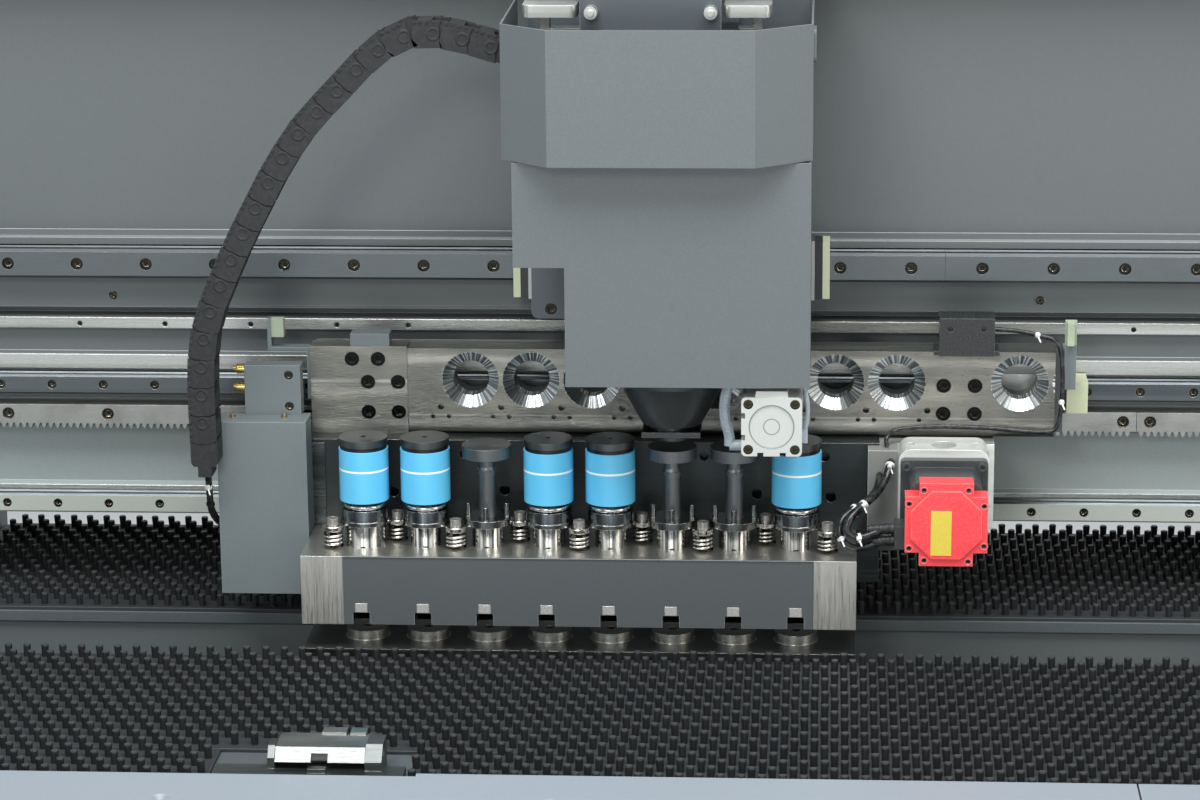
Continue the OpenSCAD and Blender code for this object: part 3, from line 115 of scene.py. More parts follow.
def lamp(name, place, aim, size, watts, shade="#ffffff"):
    data = bpy.data.lights.new(name, "AREA")
    data.shape, data.size, data.size_y, data.energy = "RECTANGLE", size[0], size[1], watts
    data.color = linear(shade)[:3]
    made = placed(name, data)
    made.location = place
    made.rotation_euler = (Vector(aim) - Vector(place)).to_track_quat("-Z", "Y").to_euler()


WORKING_ZONE = (0, 0.1, 1.1)
lamp("key", (-0.8, -3.7, 3.1), WORKING_ZONE, (0.9, 0.7), 40, "#fffdf8")
lamp("overhead", (0.2, -1.3, 4.2), WORKING_ZONE, (4.4, 1.6), 215, "#fdfdff")
lamp("left_window", (-4.2, -2.2, 2.2), WORKING_ZONE, (1.6, 2.4), 24, "#f4f8ff")
lamp("right_window", (4.0, -2.4, 2.0), WORKING_ZONE, (1.4, 2.6), 56, "#fff9f0")
lamp("front_bounce", (0.2, -5.2, 1.2), WORKING_ZONE, (5.6, 2.2), 64, "#fbfdff")
lamp("back_fill", (0, 3.6, 2.8), WORKING_ZONE, (3.0, 2.0), 30)

FLOOR_SHADE = "#d9dcdd"
world = bpy.data.worlds.new("studio")
world.use_nodes = True
sky = world.node_tree
sky.nodes.clear()
ray = add(sky, "LightPath")
pale = add(sky, "Background", {"Color": linear(FLOOR_SHADE), "Strength": 1.0})
dim = add(sky, "Background", {"Color": linear("#ccd2d6"), "Strength": 0.42})
seen = add(sky, "MixShader", {0: ray.outputs["Is Camera Ray"], 1: dim.outputs[0], 2: pale.outputs[0]})
add(sky, "OutputWorld", {"Surface": seen.outputs[0]})
scene.world = world

FLOOR_HALF = 9.0
floor_mesh = bpy.data.meshes.new("floor")
floor_mesh.from_pydata([(-FLOOR_HALF, -FLOOR_HALF, 0), (FLOOR_HALF, -FLOOR_HALF, 0),
                        (FLOOR_HALF, FLOOR_HALF, 0), (-FLOOR_HALF, FLOOR_HALF, 0)], [], [(0, 1, 2, 3)])
floor = placed("floor", floor_mesh)
screed, tree = blank("pale_screed")
grain = add(tree, "TexNoise", {"Scale": 40.0, "Detail": 4.0})
tint = add(tree, "ValToRGB", {0: grain.outputs[0]})
tint.color_ramp.elements[0].color, tint.color_ramp.elements[1].color = linear("#cfd2d3"), linear("#dde0e1")
show(tree, add(tree, "BsdfPrincipled", {"Base Color": tint.outputs[0], "Roughness": 0.65}))
floor_mesh.materials.append(screed)


# Side frames and cross members: welded steel plate and box section, sprayed with a satin two-part
# enamel that is thinner, and so paler, along its edges.
CLOUD_MM, WEAR_FULL = 400, 0.86


def dress(material, *nodes):
    for node in nodes:
        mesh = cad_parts[node].data
        mesh.materials.clear()
        mesh.materials.append(material)


def fresh(name):
    """A new material, its node tree, and the place in the machine's own metres."""
    material, tree = blank(name)
    return material, tree, add(tree, "TexCoord").outputs["Object"]


def noise(tree, place, grain_mm, detail, rough=0.5):
    return add(tree, "TexNoise", {"Vector": place, "Scale": 1000 / grain_mm, "Detail": detail,
                                  "Roughness": rough}).outputs[0]


def remap(tree, value, span=(0.0, 1.0), to=(0.0, 1.0), **settings):
    return add(tree, "MapRange", dict(enumerate((value, *span, *to))), **settings).outputs[0]


def mix(tree, share, first, second):
    """The first colour, turning into the second where share is 1; a shade is written as sRGB hex."""
    first, second = (linear(c) if isinstance(c, str) else c for c in (first, second))
    return add(tree, "Mix", {0: share, 6: first, 7: second}, data_type="RGBA").outputs[2]


def rounded(tree, radius_mm):
    return add(tree, "Bevel", {"Radius": radius_mm / 1000}, samples=6).outputs[0]


def edge_wear_and_highlight(tree, soft, begins, most):
    """Rises to most where the rounded normal leaves the flat one, which is at the edges. There it stands for
    worn enamel and for a painted highlight.
    """
    flat = add(tree, "NewGeometry").outputs["Normal"]
    meet = add(tree, "VectorMath", {0: soft, 1: flat}, operation="DOT_PRODUCT").outputs["Value"]
    return remap(tree, meet, (begins, WEAR_FULL), (0.0, most))


def relief(tree, height, soft, strength, depth_mm):
    return add(tree, "Bump", {"Height": height, "Normal": soft, "Strength": strength,
                              "Distance": depth_mm / 1000}).outputs[0]


def surface(material, colour, rough, normal, metal=0.0, more=None):
    look = {"Base Color": colour, "Metallic": metal, "Roughness": rough, "Normal": normal}
    show(material.node_tree, add(material.node_tree, "BsdfPrincipled", {**look, **(more or {})}))
    return material


def enamel(name, shade, worn="#aab3b8", peel_mm=1.6, rough=0.42, edge_mm=0.7, cloud=0.03):
    """Sprayed enamel: faint clouds in the colour, orange peel, and paler worn edges."""
    material, tree, place = fresh(name)
    soft = rounded(tree, edge_mm)
    dust = noise(tree, place, peel_mm, 5.0, 0.8)
    deep = [c * (1 - cloud) for c in linear(shade)[:3]] + [1.0]
    light = [min(1.0, c * (1 + cloud)) for c in linear(shade)[:3]] + [1.0]
    tone = mix(tree, noise(tree, place, CLOUD_MM, 3.0), deep, light)
    dusty = mix(tree, remap(tree, dust, (0.45, 0.75), (0.0, 0.22)), tone, worn)
    colour = mix(tree, edge_wear_and_highlight(tree, soft, 0.995, 0.75), dusty, worn)
    gloss = remap(tree, dust, to=(rough - 0.06, rough + 0.08))
    return surface(material, colour, gloss, relief(tree, noise(tree, place, peel_mm, 2.0), soft, 0.08, 0.4))


BEAM_GREY = "#5b6162"
dress(enamel("satin_grey_enamel", BEAM_GREY, worn="#8d9698"), "side_frames", "cross_members")

# Sheet-metal covers and the head's casting: 2 mm folded steel, powder coated in a bluer grey, with
# rims that show as thin pale lines. The apron is paler, and the castings and table are darker.
dress(enamel("blue_grey_powder_coat", "#5b6264", worn="#97a0a4", peel_mm=1.1, rough=0.46, edge_mm=0.5),
      "lower_cover", "upper_skirt")
dress(enamel("pale_blue_powder_coat", "#889199", worn="#c3cbd0", peel_mm=1.1, rough=0.4, edge_mm=0.8),
      "front_apron")
dress(enamel("slate_table_enamel", "#4b5255", worn="#878f93", peel_mm=1.3, rough=0.44), "table_plates")
dress(enamel("black_machine_enamel", "#36393a", worn="#6a6f71", peel_mm=2.2, rough=0.34),
      "ram_housing", "servomotor")
dress(enamel("glossy_black_resin_coat", "#1d1f20", worn="#6f7476", peel_mm=2.0, rough=0.26, edge_mm=1.0),
      "sensor_block")


# Guide rails and rack: hardened steel bars, ground along their length. The grinding leaves fine lines
# along X that stretch each reflection, and the head rails' faces that look up are painted darker, as painted
# shade.
def scaled(tree, colour, share):
    return add(tree, "VectorMath", {0: colour, "Scale": share}, operation="SCALE").outputs[0]


def stretched(tree, place, scale):
    return add(tree, "Mapping", {"Vector": place, "Scale": scale}).outputs[0]


def parts(tree, vector):
    return add(tree, "SeparateXYZ", {0: vector}).outputs


def looking_up(tree):
    return parts(tree, add(tree, "NewGeometry").outputs["True Normal"])["Z"]


def ground_steel(name, shade, along=(1, 0, 0), line_mm=0.5, rough=0.3, edge_mm=0.35, tarnish="#6a6a65",
                 stain=0.3, edge_highlight="#e9ebe8", highlight_share=0.6, painted_top_shade=0.0):
    """Ground or milled steel: long fine lines along one axis, stains, softened edges with a painted
    highlight, and painted shade on faces that look up.
    """
    material, tree, place = fresh(name)
    lay = stretched(tree, place, [0.02 if part else 1.0 for part in along])
    lines = noise(tree, lay, line_mm, 3.0, 0.7)
    patch = remap(tree, noise(tree, place, 45, 6.0, 0.62), (0.45, 0.72), (0.0, stain))
    soft = rounded(tree, edge_mm)
    lined = scaled(tree, mix(tree, patch, shade, tarnish), remap(tree, lines, (0.35, 0.7), (0.86, 1.12)))
    # Faces that look up are painted darker, towards #2e3133: painted shade.
    top_shade = remap(tree, looking_up(tree), (0.2, 0.6), (0.0, painted_top_shade))
    top_shaded = mix(tree, top_shade, lined, "#2e3133")
    # Edges brighten towards edge_highlight: a painted highlight.
    tone = mix(tree, edge_wear_and_highlight(tree, soft, 0.99, highlight_share), top_shaded, edge_highlight)
    ruled = remap(tree, lines, (0.3, 0.7), (rough - 0.1, rough + 0.14))
    return surface(material, tone, ruled, relief(tree, lines, soft, 0.12, 0.2), 1.0, {"Anisotropic": 0.35})


dress(ground_steel("ground_bearing_steel", "#6d7375", rough=0.4, highlight_share=0.45, painted_top_shade=0.6),
      "head_rails")
dress(ground_steel("milled_rack_steel", "#b4b5b0", rough=0.36, stain=0.4), "gear_rack")

# Plain steel pieces: pinion, jaw, pin and dies are ground and left bright. The carriage's plate, the
# die bar and the clamp are phosphated, the tool back plate is black oxide, feet and ram are blackened.
dress(ground_steel("ground_block_steel", "#a4a6a3", rough=0.34), "pinion", "clamp_jaw")
dress(ground_steel("face_milled_steel", "#c6c5be", line_mm=0.9, stain=0.25), "lock_pin", "dies")
dress(ground_steel("phosphated_plate_steel", "#6c716f", rough=0.42, line_mm=1.4, stain=0.4,
                   tarnish="#4a4c49"), "carriage_plate", "die_bar", "clamp_body")
dress(ground_steel("black_oxide_plate_steel", "#434849", rough=0.4, line_mm=1.4, tarnish="#333637"),
      "tool_back_plate")
black_steel = ground_steel("blackened_steel", "#4a4d4f", line_mm=0.8, stain=0.4, tarnish="#57503f")
dress(black_steel, "levelling_feet", "ram")

# Socket screws and slender punches: the screws are black oxide, with a painted highlight on their rims,
# warm on the rail screws, and the punches' shanks are ground round and tempered grey.
dress(ground_steel("black_oxide_socket_steel", "#1e1f20", rough=0.28, line_mm=0.6, tarnish="#2a2823",
                   edge_highlight="#bdb7a6", highlight_share=0.7), "carriage_screws")
dress(ground_steel("screw_steel_with_painted_rims", "#2c2b28", rough=0.2, line_mm=0.6, tarnish="#4f4a3d", edge_highlight="#fff4dc",
                   highlight_share=1.0, edge_mm=0.6), "rail_screws")
dress(ground_steel("tempered_punch_steel", "#787c7e", along=(0, 0, 1), rough=0.42, line_mm=0.7, stain=0.4,
                   tarnish="#5b5f62"), "punch_3", "punch_6", "punch_7")

# Guides: turned and ground tool steel. Upright stripes of painted reflection run round the barrel and
# the collar, and the rims carry a painted highlight. The collar above the flange is blued to a cool grey,
# and slender tools have no collar.
ROW_X, TOOL_PITCH, TOOL_Y = -0.0055, 0.0685, 0.075
COLLAR_LOW, FLANGE_LOW = 0.9747, 0.9699
SLENDER = (3, 6, 7)
SLEEVED = (1, 2, 4, 5, 8)


def calc(tree, how, *values, **settings):
    return add(tree, "Math", dict(enumerate(values)), operation=how, **settings).outputs[0]


def past(tree, value, limit):
    return calc(tree, "GREATER_THAN", value, limit)


def short_of(tree, value, limit):
    return calc(tree, "LESS_THAN", value, limit)


def between(tree, value, low, high):
    return calc(tree, "COMPARE", value, (low + high) / 2, (high - low) / 2)


def either(tree, first, second):
    return calc(tree, "MAXIMUM", first, second)


def both(tree, first, second):
    return calc(tree, "MULTIPLY", first, second)


def round_noise(tree, angle, scale, detail):
    """Noise along one number, for what runs round an axis."""
    sockets = {"W": angle, "Scale": scale, "Detail": detail}
    return add(tree, "TexNoise", sockets, noise_dimensions="1D").outputs[0]


def turned_guide(name, collared):
    material, tree, place = fresh(name)
    at = parts(tree, place)
    local = calc(tree, "WRAP", calc(tree, "SUBTRACT", at["X"], ROW_X), TOOL_PITCH, 0.0)
    across = calc(tree, "SUBTRACT", local, TOOL_PITCH / 2)
    angle = calc(tree, "ARCTAN2", across, calc(tree, "SUBTRACT", at["Y"], TOOL_Y))
    painted_reflection_stripes = round_noise(tree, calc(tree, "MULTIPLY_ADD", at["X"], 3.0, angle), 3.4, 1.5)
    painted_stripe = remap(tree, painted_reflection_stripes, (0.42, 0.6))
    speck = noise(tree, place, 1.5, 3.0)
    # Barrel and collar carry painted reflection stripes, and the rims a painted highlight.
    barrel = mix(tree, painted_stripe, "#77797a", "#fbfbf8")
    flange = mix(tree, speck, "#7f8280", "#a9aba7")
    collar = mix(tree, painted_stripe, "#878e92", "#a4abaf") if collared else flange
    lower = mix(tree, past(tree, at["Z"], FLANGE_LOW), barrel, flange)
    body = mix(tree, past(tree, at["Z"], COLLAR_LOW), lower, collar)
    soft = rounded(tree, 0.5)
    tone = mix(tree, edge_wear_and_highlight(tree, soft, 0.98, 0.7), body, "#eceee9")
    rough = remap(tree, speck, to=(0.14, 0.22))
    return surface(material, tone, rough, relief(tree, speck, soft, 0.015, 0.2), 1.0)


dress(turned_guide("turned_and_blued_guide", True), *[f"guide_{k}" for k in SLEEVED])
dress(turned_guide("turned_slender_guide", False), *[f"guide_{k}" for k in SLENDER])

# Lifter bolts and keys: bright heads over dark, oily shanks. Each key's top is ground bright, and its
# foot in the bar's notch is painted near black, as painted shade in the notch.
HEADS_FROM, KEY_TOP_H = 0.9695, 0.013


def two_toned(name, dark, bright, bright_from):
    """Dark below one height, bright above it, both speckled."""
    material, tree, place = fresh(name)
    speck = noise(tree, place, 1.2, 4.0, 0.7)
    tone = mix(tree, past(tree, parts(tree, place)["Z"], bright_from), dark, bright)
    body = scaled(tree, tone, remap(tree, speck, (0.3, 0.75), (0.92, 1.08)))
    bump = relief(tree, speck, rounded(tree, 0.4), 0.03, 0.2)
    return surface(material, body, remap(tree, speck, to=(0.16, 0.34)), bump, 0.7)


dress(two_toned("lifter_bolt_steel", "#2b2a28", "#b3b2ad", HEADS_FROM), "lifter_bolts")
# The key's foot below its top is painted near black: painted shade in the notch.
dress(two_toned("ground_key_steel", "#1b1c1c", "#f0efe9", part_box("bar_keys")[1].z - KEY_TOP_H), "bar_keys")

# Lock cylinder: an aluminium body, blasted and anodised pale, held by four dark socket screws at its
# corners. Two turned rings run round its boss and its middle.
CYLINDER_X, CYLINDER_Z, CORNER_BOLT, BOLT_R = 0.208, 1.109, 0.025, 0.0053
BOSS_RING, ROD_RING = (0.0232, 0.0246), (0.0078, 0.0092)


def measured(tree, how, vector, other=None):
    """A length or a distance, as one number."""
    sockets = {0: vector} if other is None else {0: vector, 1: other}
    return add(tree, "VectorMath", sockets, operation=how).outputs["Value"]


def cylinder_face():
    material, tree, place = fresh("blasted_aluminium_cylinder")
    at = parts(tree, place)
    across = calc(tree, "SUBTRACT", at["X"], CYLINDER_X)
    spoke = add(tree, "CombineXYZ", {0: across, 1: calc(tree, "SUBTRACT", at["Z"], CYLINDER_Z)}).outputs[0]
    radius = measured(tree, "LENGTH", spoke)
    folded = add(tree, "VectorMath", {0: spoke}, operation="ABSOLUTE").outputs[0]
    bolt = short_of(tree, measured(tree, "DISTANCE", folded, (CORNER_BOLT, CORNER_BOLT, 0)), BOLT_R)
    ring = either(tree, between(tree, radius, *BOSS_RING), between(tree, radius, *ROD_RING))
    speck = noise(tree, place, 0.8, 4.0, 0.75)
    ringed = mix(tree, ring, mix(tree, speck, "#b4b8b4", "#d0d3cf"), "#8f9490")
    bump = relief(tree, speck, rounded(tree, 0.6), 0.1, 0.2)
    return surface(material, mix(tree, bolt, ringed, "#4a4638"), remap(tree, speck, to=(0.34, 0.5)), bump,
                   remap(tree, bolt, to=(0.25, 1.0)))


dress(cylinder_face(), "lock_cylinder")

# Lock bar: a steel bar, face milled and lightly oiled, with nine bored and countersunk seats for the lock
# pin. The countersinks carry bright and dark wedges of painted reflection over the boring bar's chatter
# marks, and the milled face carries painted highlight bands along X, each with its height, reach and
# strength, in millimetres.
SEAT_X, SEAT_PITCH, SEAT_Z, SEAT_R = 0.208, 0.0685, 1.109, 0.0322
NO_SEAT_X = SEAT_X + 3 * SEAT_PITCH
ROW_START_X = SEAT_X - 5.5 * SEAT_PITCH
LEFT_HIGHLIGHT_BANDS = ((-0.32, -0.206), ((1106.5, 4.0, 0.9), (1098.0, 12.0, 0.4), (1058.0, 8.0, 0.5)))
RIGHT_HIGHLIGHT_BANDS = ((-0.205, 0.53), ((1068.0, 1.8, 0.35), (1060.0, 7.0, 0.45), (1132.0, 9.0, 0.22)))
SPOKE_TURN = 90.0


def choose(tree, share, first, second):
    """One of two plain numbers."""
    return add(tree, "Mix", {0: share, 2: first, 3: second}).outputs[0]


def painted_highlight_bands(tree, at):
    height_mm = calc(tree, "MULTIPLY", at["Z"], 1000.0)
    painted_glint = None
    for (left_x, right_x), bands in (LEFT_HIGHLIGHT_BANDS, RIGHT_HIGHLIGHT_BANDS):
        for middle, reach, most in bands:
            away = calc(tree, "ABSOLUTE", calc(tree, "SUBTRACT", height_mm, middle))
            band = remap(tree, away, (0.0, reach), (most, 0.0), interpolation_type="SMOOTHSTEP")
            here = both(tree, band, between(tree, at["X"], left_x, right_x))
            painted_glint = here if painted_glint is None else either(tree, painted_glint, here)
    return painted_glint


def seated_bar():
    material, tree, place = fresh("face_milled_and_bored_steel")
    at = parts(tree, place)
    local = calc(tree, "WRAP", calc(tree, "SUBTRACT", at["X"], SEAT_X), SEAT_PITCH / 2, -SEAT_PITCH / 2)
    height = calc(tree, "SUBTRACT", at["Z"], SEAT_Z)
    angle = calc(tree, "ARCTAN2", height, local)
    radius = measured(tree, "LENGTH", add(tree, "CombineXYZ", {0: local, 1: height}).outputs[0])
    at_gap = calc(tree, "COMPARE", at["X"], NO_SEAT_X, SEAT_PITCH / 2)
    bored = calc(tree, "SUBTRACT", short_of(tree, radius, SEAT_R), at_gap, use_clamp=True)
    in_seat = both(tree, bored, past(tree, at["X"], ROW_START_X))
    which = calc(tree, "SNAP", at["X"], SEAT_PITCH)
    chatter_and_painted_wedges = round_noise(tree, calc(tree, "MULTIPLY_ADD", which, SPOKE_TURN, angle), 8.5, 1.0)
    lines = noise(tree, stretched(tree, place, (0.05, 1, 1)), 0.9, 3.0, 0.7)
    streaks = noise(tree, stretched(tree, place, (0.16, 1, 1)), 34, 5.0, 0.55)
    ground = mix(tree, noise(tree, place, 40, 6.0), "#93938c", "#6d6e69")
    warm = mix(tree, remap(tree, streaks, (0.5, 0.66)), ground, "#a3a196")
    # Painted highlight bands on the milled face.
    painted_shine = both(tree, painted_highlight_bands(tree, at), remap(tree, streaks, (0.4, 0.6), (0.15, 1.0)))
    milled = mix(tree, painted_shine, warm, "#fdfcf4")
    # Painted reflection: bright and dark wedges round each countersink.
    turned = mix(tree, remap(tree, chatter_and_painted_wedges, (0.47, 0.57)), "#767c7f", "#e2e6e5")
    rough = choose(tree, in_seat, remap(tree, lines, (0.3, 0.7), (0.24, 0.44)),
                   remap(tree, chatter_and_painted_wedges, (0.4, 0.6), (0.42, 0.26)))
    ripple = choose(tree, in_seat, lines, remap(tree, chatter_and_painted_wedges, to=(0.38, 0.62)))
    return surface(material, mix(tree, in_seat, milled, turned), rough,
                   relief(tree, ripple, rounded(tree, 0.4), 0.5, 1.2), 1.0)


dress(seated_bar(), "lock_bar")

# Crossbeam: painted steel with its rail seats, rib and ledge machined afterwards and left bare, so the
# enamel stops in straight lines. Its face between low rail and rack is painted paler, as painted light,
# and its wide rounded edges carry a painted highlight.
BARE_STRIPS = ((0.922, 0.9552), (1.0965, 1.1145), (1.1445, 1.1585), (1.2065, 1.2425))
LIT_FACE_Z = (0.9552, 1.0296)
BEAM_FRONT_Y = 0.2665


def part_bare(name, paint, bare, bare_where, worn="#cfd4d3", tarnish="#77776f", stretch=(0.03, 1, 1),
              gloss=0.28, edge_mm=0.7, metal=1.0, fitted="#b59c5e", fitted_where=None, pale="",
              painted_light_where=None):
    """Enamel, with bare milled steel where bare_where gives 1, and a third metal where fitted_where does."""
    material, tree, place = fresh(name)
    at = parts(tree, place)
    mask = bare_where(tree, at)
    soft = rounded(tree, edge_mm)
    peel = noise(tree, place, 1.6, 4.0, 0.8)
    # Where painted_light_where gives 1, the enamel takes the paler colour pale, as painted light.
    shade = mix(tree, painted_light_where(tree, at), paint, pale) if painted_light_where else linear(paint)[:3]
    coat = scaled(tree, shade, remap(tree, peel, (0.3, 0.75), (0.9, 1.12)))
    lay = stretched(tree, place, stretch)
    lines = noise(tree, lay, 0.9, 3.0, 0.7)
    steel = mix(tree, remap(tree, noise(tree, lay, 16, 5.0), (0.45, 0.66)), bare, tarnish)
    if fitted_where:
        insert = fitted_where(tree, at)
        steel = mix(tree, insert, steel, fitted)
        mask = either(tree, mask, insert)
    # A paler rim runs along every edge: worn enamel, and a painted highlight.
    colour = mix(tree, edge_wear_and_highlight(tree, soft, 0.995, 0.8), mix(tree, mask, coat, steel), worn)
    milled = remap(tree, lines, (0.3, 0.7), (gloss - 0.1, gloss + 0.14))
    rough = choose(tree, mask, remap(tree, peel, to=(0.36, 0.5)), milled)
    bump = relief(tree, choose(tree, mask, peel, lines), soft, 0.12, 0.3)
    return surface(material, colour, rough, bump, calc(tree, "MULTIPLY", mask, metal))


def machined_strips(tree, at):
    found = between(tree, at["Z"], *BARE_STRIPS[0])
    for strip in BARE_STRIPS[1:]:
        found = either(tree, found, between(tree, at["Z"], *strip))
    return both(tree, found, short_of(tree, at["Y"], BEAM_FRONT_Y))


# Painted light: the face between low rail and rack gets a paler enamel colour.
def painted_light_below_rack(tree, at):
    return between(tree, at["Z"], *LIT_FACE_Z)


dress(part_bare("masked_beam_enamel", BEAM_GREY, "#b8bab7", machined_strips, tarnish="#96988f", edge_mm=1.5,
                metal=0.75, pale="#8b9594", painted_light_where=painted_light_below_rack), "crossbeam")

# Carriage rails: hardened steel bars under the head rails. The low one's front is painted pale, as painted
# light, and every other face is plain dark ground steel.
LOW_RAIL_TOP, FACES_UP = 0.9595, 0.6


# 1 where plain dark steel shows; elsewhere, on the low rail's front, the pale colour is painted light.
def faces_outside_painted_light(tree, at):
    return either(tree, past(tree, looking_up(tree), FACES_UP), past(tree, at["Z"], LOW_RAIL_TOP))


dress(part_bare("ground_carriage_rails", "#a3a9a2", "#686e70", faces_outside_painted_light, worn="#cdd2ce",
                tarnish="#4b5052", stretch=(0.02, 1, 1), gloss=0.4), "carriage_rails")

# Tool bar: a steel bar painted slate on its front only. Its two ends and its top are milled bright, and
# the notches for the keys are painted near black, as painted shade.
BARE_END_W, PAINT_T, NOTCH_H = 0.0465, 0.0015, 0.014
bar_low, bar_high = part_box("tool_bar")


def bare_ends(tree, at):
    left = short_of(tree, at["X"], bar_low.x + BARE_END_W)
    right = past(tree, at["X"], bar_high.x - BARE_END_W)
    return either(tree, either(tree, left, right), past(tree, at["Y"], bar_low.y + PAINT_T))


# The key notches are painted near black: painted shade.
def notches_in_painted_shade(tree, at):
    inside = past(tree, at["Y"], bar_low.y + PAINT_T)
    low = both(tree, short_of(tree, at["Z"], bar_low.z + NOTCH_H), inside)
    return both(tree, low, between(tree, at["X"], bar_low.x + BARE_END_W / 2, bar_high.x - BARE_END_W / 2))


dress(part_bare("half_painted_tool_bar", "#4c5254", "#d6d5ce", bare_ends, stretch=(1, 1, 0.03), gloss=0.36,
                tarnish="#cccbc2", fitted="#0d0e0e", fitted_where=notches_in_painted_shade), "tool_bar")

# Head drive: a slate-painted drive plate held by two bright bolts, between pale aluminium arms. Only its
# upper part shows over the skirt.
DRIVE_PLATE_X, BOLT_FRONT_Y = (0.003, 0.1545), 0.0158


def arms_and_bolts(tree, at):
    outside = calc(tree, "SUBTRACT", 1.0, between(tree, at["X"], *DRIVE_PLATE_X))
    return either(tree, outside, short_of(tree, at["Y"], BOLT_FRONT_Y))


dress(part_bare("slate_drive_plate", "#484f54", "#d3d6d2", arms_and_bolts, tarnish="#b4b6b0", gloss=0.4),
      "head_drive")

# Motor bracket: a grey primed steel plate and cheek, with the motor's cast adaptor in front of them,
# machined bright all over.
ADAPTOR_BACK_Y, ADAPTOR_LEFT_X = 0.1502, 0.3464


def adaptor_only(tree, at):
    return both(tree, short_of(tree, at["Y"], ADAPTOR_BACK_Y), past(tree, at["X"], ADAPTOR_LEFT_X))


dress(part_bare("primed_plate_and_adaptor", "#7f817d", "#e2e5e1", adaptor_only, worn="#f2f3ef",
                tarnish="#cfd2cc", gloss=0.36, edge_mm=1.2, metal=0.4), "motor_bracket")

# Left end of the carriage: a powder-coated sheet cover on a blackened plate, with two brass screws on
# its lid, and the oil distributor's block with its brass fittings and oiled socket screws. The sheet
# brackets at both ends carry pale sensor clips, and the head plate shows one oiled screw.
COVER_SHADE, COVER_EDGE = "#687173", "#a9b1b4"
LID_Z, BLACK_PLATE_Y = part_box("cover_box")[1].z - 0.0039, 0.1396
oil_low, oil_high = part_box("oil_distributor")
FITTING_END_X = oil_low.x + 0.0131
OIL_SCREW_X, OIL_SCREW_R = oil_high.x - 0.013, 0.0051
OIL_SCREWS_Z = (oil_low.z + 0.010, oil_high.z - 0.011)
HEAD_SCREW_X, HEAD_SCREW_Z, HEAD_SCREW_R = -0.043, 1.189, 0.0066
LEFT_CLIP_X, LEFT_CLIP_Z = (-0.3599, -0.3455), 1.1555
RIGHT_CLIP_X, RIGHT_CLIP_Z = 0.5315, 1.1495


def near_axis(tree, at, x, z, radius):
    """1 within a radius of an axis that runs along Y."""
    spot = add(tree, "CombineXYZ", {0: at["X"], 2: at["Z"]}).outputs[0]
    return short_of(tree, measured(tree, "DISTANCE", spot, (x, 0, z)), radius)


def oil_screws(tree, at):
    return either(tree, *(near_axis(tree, at, OIL_SCREW_X, z, OIL_SCREW_R) for z in OIL_SCREWS_Z))


def head_screw(tree, at):
    return near_axis(tree, at, HEAD_SCREW_X, HEAD_SCREW_Z, HEAD_SCREW_R)


def clips(tree, at):
    left = both(tree, between(tree, at["X"], *LEFT_CLIP_X), past(tree, at["Z"], LEFT_CLIP_Z))
    right = both(tree, past(tree, at["X"], RIGHT_CLIP_X), past(tree, at["Z"], RIGHT_CLIP_Z))
    return either(tree, left, right)


dress(part_bare("coated_cover_box", COVER_SHADE, "#3d4141", worn=COVER_EDGE, tarnish="#55595a",
                bare_where=lambda tree, at: past(tree, at["Y"], BLACK_PLATE_Y),
                fitted_where=lambda tree, at: past(tree, at["Z"], LID_Z)), "cover_box")
dress(part_bare("coated_oil_block", COVER_SHADE, "#2f2e2a", oil_screws, worn=COVER_EDGE, tarnish="#8a7f5c",
                gloss=0.2, fitted_where=lambda tree, at: short_of(tree, at["X"], FITTING_END_X)),
      "oil_distributor")
dress(part_bare("slate_head_plate", "#50575b", "#2c2b28", head_screw, worn=COVER_EDGE, tarnish="#6d6550"),
      "head_plate")
dress(part_bare("bracket_with_clips", COVER_SHADE, "#99a58c", clips, worn=COVER_EDGE, tarnish="#a9b59c",
                gloss=0.5, metal=0.0), "carriage_end_brackets")

# Sleeved punches: a lacquered blue sheet sleeve with one white line, under a black ring and a black
# head disc of tempered steel.
SLEEVE_Z, LINE_Z, LINE_HALF, DISC_FROM = (0.9965, 1.0557), 1.0332, 0.0011, 1.0600


def sleeved(name):
    material, tree, place = fresh(name)
    height = parts(tree, place)["Z"]
    blue = both(tree, past(tree, height, SLEEVE_Z[0]), short_of(tree, height, SLEEVE_Z[1]))
    line = short_of(tree, calc(tree, "ABSOLUTE", calc(tree, "SUBTRACT", height, LINE_Z)), LINE_HALF)
    dull = noise(tree, place, 2.4, 4.0)
    marked = mix(tree, line, mix(tree, dull, "#5bbde8", "#60c1ea"), "#f2f6f8")
    ring, disc = mix(tree, dull, "#25282a", "#33373a"), mix(tree, dull, "#4f5556", "#575d5c")
    oxide = mix(tree, past(tree, height, DISC_FROM), ring, disc)
    return surface(material, mix(tree, blue, oxide, marked), remap(tree, dull, to=(0.3, 0.36)),
                   rounded(tree, 0.5), remap(tree, blue, to=(0.85, 0.0)), {"Coat Weight": 0.25})


dress(sleeved("lacquered_blue_sleeve"), *[f"punch_{k}" for k in SLEEVED])

